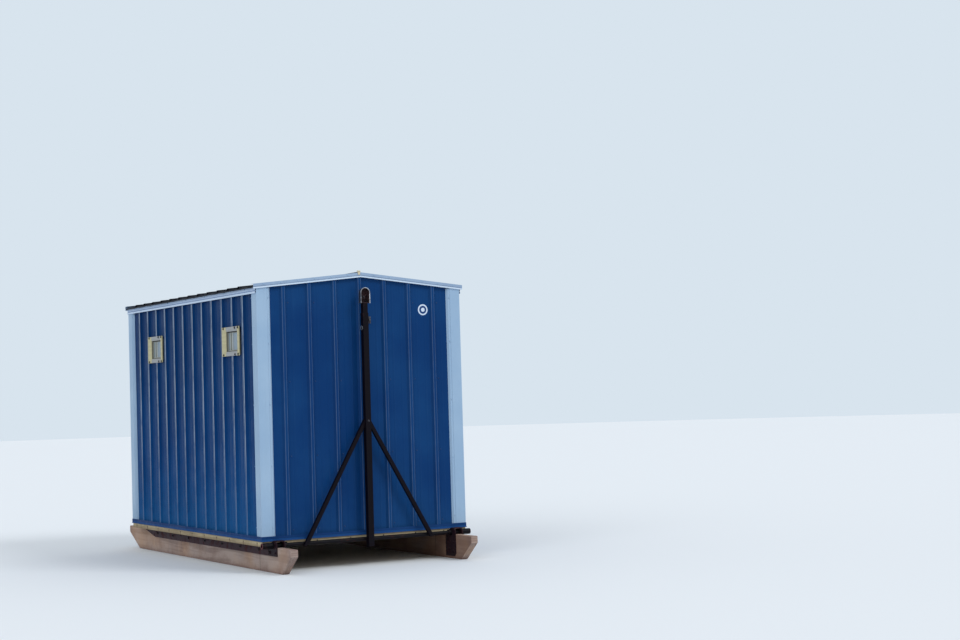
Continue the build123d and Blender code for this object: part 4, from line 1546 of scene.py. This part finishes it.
@dataclass
class Drawbar:
    """The folded drawbar: pivot pipe, mast, braces and ball coupler, with welds and bolts."""

    pipe_z: float = 0.21915
    pipe_radius: float = 0.0167
    brace_joint: float = 1.183
    bead_reach: float = 0.7
    foot_reach: float = 0.5
    mast_bead: float = 0.0036
    brace_bead: float = 0.0034
    bead_proud: float = 0.0008
    brace_proud: float = 0.001
    brace_drop: float = 0.004
    brace_run: float = 0.05
    foot_ends: Span = (0.008, 0.034)
    seeds: tuple[int, int, int] = (3, 11, 17)
    nut_back: float = 0.018
    nut_rise: float = 0.055
    ring_radius: float = 0.0165
    ring_wire: float = 0.0014
    keeper_face: float = -1.5473
    keeper_inset: float = 0.016
    keeper_rises: Span = (-0.015, 0.015)

    def build(self, bench: Bench) -> None:
        """Dress the drawbar and add its welds, bolts and coupler parts.

        Args:
            bench: The bench to work at.
        """
        bench.dress(Look.BLACK_BAR, "mast", "inner_tube", "brace_left", "brace_right")
        bench.dress(Look.PIPE, "pivot_pipe")
        bench.dress(Look.SOCKET, "coupler")
        bench.dress(Look.DARK_PLATE, "hitch_pin", "mast_keeper")
        bench.piece("drawbar_welds", self.welds(), Look.BLACK_BAR, "drawbar_steel", Body.DRAWBAR, smooth=True)
        bench.piece("brace_bolt", BRACE_BOLT.row(self.bolt_seats()), Look.DARK_PLATE, "zinc_steel", Body.DRAWBAR)
        bench.piece("coupler_nut", CLAMP_NUT.row(self.nut_seats()), Look.DARK_PLATE, "zinc_steel", Body.DRAWBAR)
        bench.piece("pin_ring", self.pin_ring(), Look.ZINC, "zinc_steel", Body.DRAWBAR, smooth=True)
        bench.piece("keeper_screws", WOOD_SCREW.row(self.keeper_seats()), Look.OLD_SCREW, "rust_steel")

    def welds(self) -> Shape:
        """Weld beads where the mast and braces meet each other and the pipe.

        Returns:
            Their shape.
        """
        shape = bmesh.new()
        low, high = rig.box("mast")
        reach = self.pipe_radius * self.bead_reach
        mast_seed, brace_seed, foot_seed = self.seeds
        for index, x in enumerate((low.x - self.bead_proud, high.x + self.bead_proud)):
            start = Vector((x, high.y + self.bead_proud, self.pipe_z - reach))
            weld(shape, start, Vector((0, 0, 2 * reach)), self.mast_bead, mast_seed + index)
        near, far = self.foot_ends
        for index, hand in enumerate(Hand):
            lo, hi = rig.box(f"brace_{hand.name.lower()}")
            side, edge = (low.x, lo.x) if hand is Hand.LEFT else (high.x, hi.x)
            top = Vector((side + hand.value * self.brace_proud, lo.y + self.bead_proud, hi.z - self.brace_drop))
            weld(shape, top, Vector((0, 0, -self.brace_run)), self.brace_bead, brace_seed + index)
            foot = Vector((edge - hand.value * near, hi.y + self.brace_proud, self.pipe_z + reach * self.foot_reach))
            weld(shape, foot, Vector((hand.value * (near - far), 0, 0)), self.brace_bead, foot_seed + index)
        return shape

    def bolt_seats(self) -> list[Seat]:
        """The bolt on the front of the mast at the brace joint."""
        low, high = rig.box("mast")
        return [seat((low.x + high.x) / 2, low.y, self.brace_joint, Gable.FRONT.out)]

    def nut_seats(self) -> list[Seat]:
        """The adjusting nut in the coupler, under the ball clamp."""
        low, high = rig.box("coupler")
        return [seat((low.x + high.x) / 2, high.y - self.nut_back, low.z + self.nut_rise, Gable.FRONT.out)]

    def pin_ring(self) -> Shape:
        """The thin bright ring on the hitch pin's dark head.

        Returns:
            Its shape.
        """
        shape = bmesh.new()
        low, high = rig.box("hitch_pin")
        place = Matrix.Translation((low.x, (low.y + high.y) / 2, (low.z + high.z) / 2))
        ring(shape, place @ Matrix.Rotation(-math.pi / 2, 4, "Y"), self.ring_radius, self.ring_wire)
        return shape

    def keeper_seats(self) -> list[Seat]:
        """Two screws through the keeper's flange.

        Returns:
            Their places.
        """
        low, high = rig.box("mast_keeper")
        x, middle = high.x - self.keeper_inset, (low.z + high.z) / 2
        return [seat(x, self.keeper_face, middle + rise, Gable.FRONT.out) for rise in self.keeper_rises]


@dataclass
class GableSticker:
    """A plain round sticker: a pale disc with a blue field and a small pale middle."""

    x: float = 0.587
    z: float = 2.101
    face: float = -1.5395
    sunk: float = 0.0002
    radii: tuple[float, float, float] = (0.046, 0.034, 0.017)
    bead_x: float = 0.5989
    bead_half: float = 0.011
    bead_height: float = 0.0025
    thick: float = 0.0006
    sides: int = 56

    def build(self, bench: Bench) -> None:
        """Stick it on.

        Args:
            bench: The bench to work at.
        """
        looks = (("disc", Look.STICKER), ("field", Look.FIELD), ("middle", Look.STICKER))
        for index, (name, look) in enumerate(looks):
            slot = "blue_steel" if look is Look.FIELD else "white_trim"
            bench.piece(f"sticker_{name}", self.layer(self.radii[index], index), look, slot)

    def layer(self, radius: float, index: int) -> Shape:
        """One thin round layer, pressed over the sheet's small bead.

        Args:
            radius: The layer's radius.
            index: How many layers lie under it.

        Returns:
            Its shape.
        """
        shape = bmesh.new()
        level = self.face + self.sunk - self.thick * index
        place = Matrix.Translation((self.x, level, self.z)) @ Matrix.Rotation(math.pi / 2, 4, "X")
        bmesh.ops.create_circle(shape, cap_ends=True, segments=self.sides, radius=radius, matrix=place)
        for offset in (-self.bead_half, 0.0, self.bead_half):
            whole = shape.verts[:] + shape.edges[:] + shape.faces[:]
            point = (self.bead_x + offset, 0, 0)
            bmesh.ops.bisect_plane(shape, geom=whole, dist=1e-6, plane_co=point, plane_no=(1, 0, 0))
        for vert in shape.verts:
            share = 1 - abs(vert.co.x - self.bead_x) / self.bead_half
            vert.co.y -= max(0.0, share) * self.bead_height
        raised = bmesh.ops.extrude_face_region(shape, geom=shape.faces[:], use_keep_orig=True)
        lifted = [item for item in raised["geom"] if isinstance(item, bmesh.types.BMVert)]
        bmesh.ops.translate(shape, vec=(0, -self.thick, 0), verts=lifted)
        return shape


@dataclass
class PhotoCamera:
    """The camera at the photograph's viewing angle."""

    place: Point = (-6.3107, -14.2872, 1.3725)
    yaw: float = -30.32
    pitch: float = 2.48
    roll: float = 1.71
    focal: float = 1717.0
    frame_width: int = 960
    sensor: float = 36.0
    sight: float = 200.0

    def build(self) -> None:
        """Set the camera up."""
        yaw, pitch, roll = (math.radians(v) for v in (self.yaw, self.pitch, self.roll))
        ahead = Vector((-math.sin(yaw) * math.cos(pitch), math.cos(yaw) * math.cos(pitch), math.sin(pitch)))
        level = Vector((math.cos(yaw), math.sin(yaw), 0.0))
        down = ahead.cross(level)
        right = level * math.cos(roll) + down * math.sin(roll)
        under = down * math.cos(roll) - level * math.sin(roll)
        turn = Matrix((right, -under, -ahead)).transposed().to_4x4()
        data = bpy.data.cameras.new("photo_camera")
        data.sensor_width = self.sensor
        data.lens = self.focal * self.sensor / self.frame_width
        data.clip_end = self.sight
        camera = bpy.data.objects.new("photo_camera", data)
        camera.matrix_world = Matrix.Translation(self.place) @ turn
        bpy.context.scene.collection.objects.link(camera)
        bpy.context.scene.camera = camera


@dataclass
class Studio:
    """Pale floor, pale surroundings and soft light."""

    floor_radius: float = 60.0
    floor_sides: int = 96
    floor_colour: Colour = (226, 232, 238)
    floor_rough: float = 0.9
    backdrop: Colour = (216, 228, 238)
    sky: tuple[float, ...] = (0.95, 0.975, 1.0, 1.0)
    fill: float = 0.78
    key: float = 1.0
    key_from: Point = (5.0, -9.0, 9.0)
    key_spread: float = 22.0
    side: float = 0.45
    side_from: Point = (-9.0, -5.0, 6.0)
    side_spread: float = 30.0

    def build(self) -> None:
        """Make the floor, the world and the lamps."""
        self.floor()
        self.world()
        self.lamp("key_light", self.key_from, self.key, self.key_spread)
        self.lamp("side_light", self.side_from, self.key * self.side, self.side_spread)

    def floor(self) -> None:
        """A wide disc of pale floor."""
        shape = bmesh.new()
        bmesh.ops.create_circle(shape, cap_ends=True, segments=self.floor_sides, radius=self.floor_radius)
        mesh = bpy.data.meshes.new("studio_floor")
        shape.to_mesh(mesh)
        shape.free()
        coat = Coat("studio_floor")
        coat.set({"Base Color": self.floor_colour, "Roughness": self.floor_rough})
        mesh.materials.append(coat.material)
        floor = bpy.data.objects.new("studio_floor", mesh)
        bpy.context.scene.collection.objects.link(floor)
        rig.stage(floor)

    def world(self) -> None:
        """Even light from all round, and the pale backdrop for what the camera and mirrors see."""
        world = bpy.data.worlds.new("studio")
        world.use_nodes = True
        bpy.context.scene.world = world
        world.node_tree.nodes.clear()
        wires = Wiring(world.node_tree)
        path = wires.add("LightPath")
        seen = wires.maths("MAXIMUM", path["Is Camera Ray"], path["Is Glossy Ray"])
        seen = wires.maths("MAXIMUM", seen, path["Is Transmission Ray"])
        light = wires.add("Background", {"Color": self.sky, "Strength": self.fill})["Background"]
        pale = wires.add("Background", {"Color": self.backdrop, "Strength": 1.0})["Background"]
        wires.add("OutputWorld", {"Surface": wires.add("MixShader", {0: seen, 1: light, 2: pale})["Shader"]})

    def lamp(self, name: str, place: Point, strength: float, spread: float) -> None:
        """A broad soft sun from a direction.

        Args:
            name: The lamp's name.
            place: A point that the light comes from.
            strength: Its strength.
            spread: Its width in degrees.
        """
        data = bpy.data.lights.new(name, "SUN")
        data.energy = strength
        data.angle = math.radians(spread)
        lamp = bpy.data.objects.new(name, data)
        lamp.rotation_mode = "QUATERNION"
        lamp.rotation_quaternion = Vector(place).to_track_quat("Z", "Y")
        lamp.location = place
        bpy.context.scene.collection.objects.link(lamp)


def main() -> None:
    """Build the scene and report each piece."""
    logging.basicConfig(level=logging.INFO, format="%(message)s")
    bpy.context.scene.view_settings.view_transform = "Standard"
    PhotoCamera().build()
    Studio().build()
    bench = Bench()
    for assembly in (Cladding(), RoofAndTrims(), Windows(), RearDoor(), RunningGear(), Drawbar(), GableSticker()):
        assembly.build(bench)
        LOG.info("finished %s", type(assembly).__name__)
    sizes = {"cad": [list(c) for c in CAD_BOX], "visual": [list(c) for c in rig.bounds()]}
    with open("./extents.json", "w") as file:
        json.dump(sizes, file)
    LOG.info("%d pieces made", bench.count)


if __name__ == "__main__":
    main()
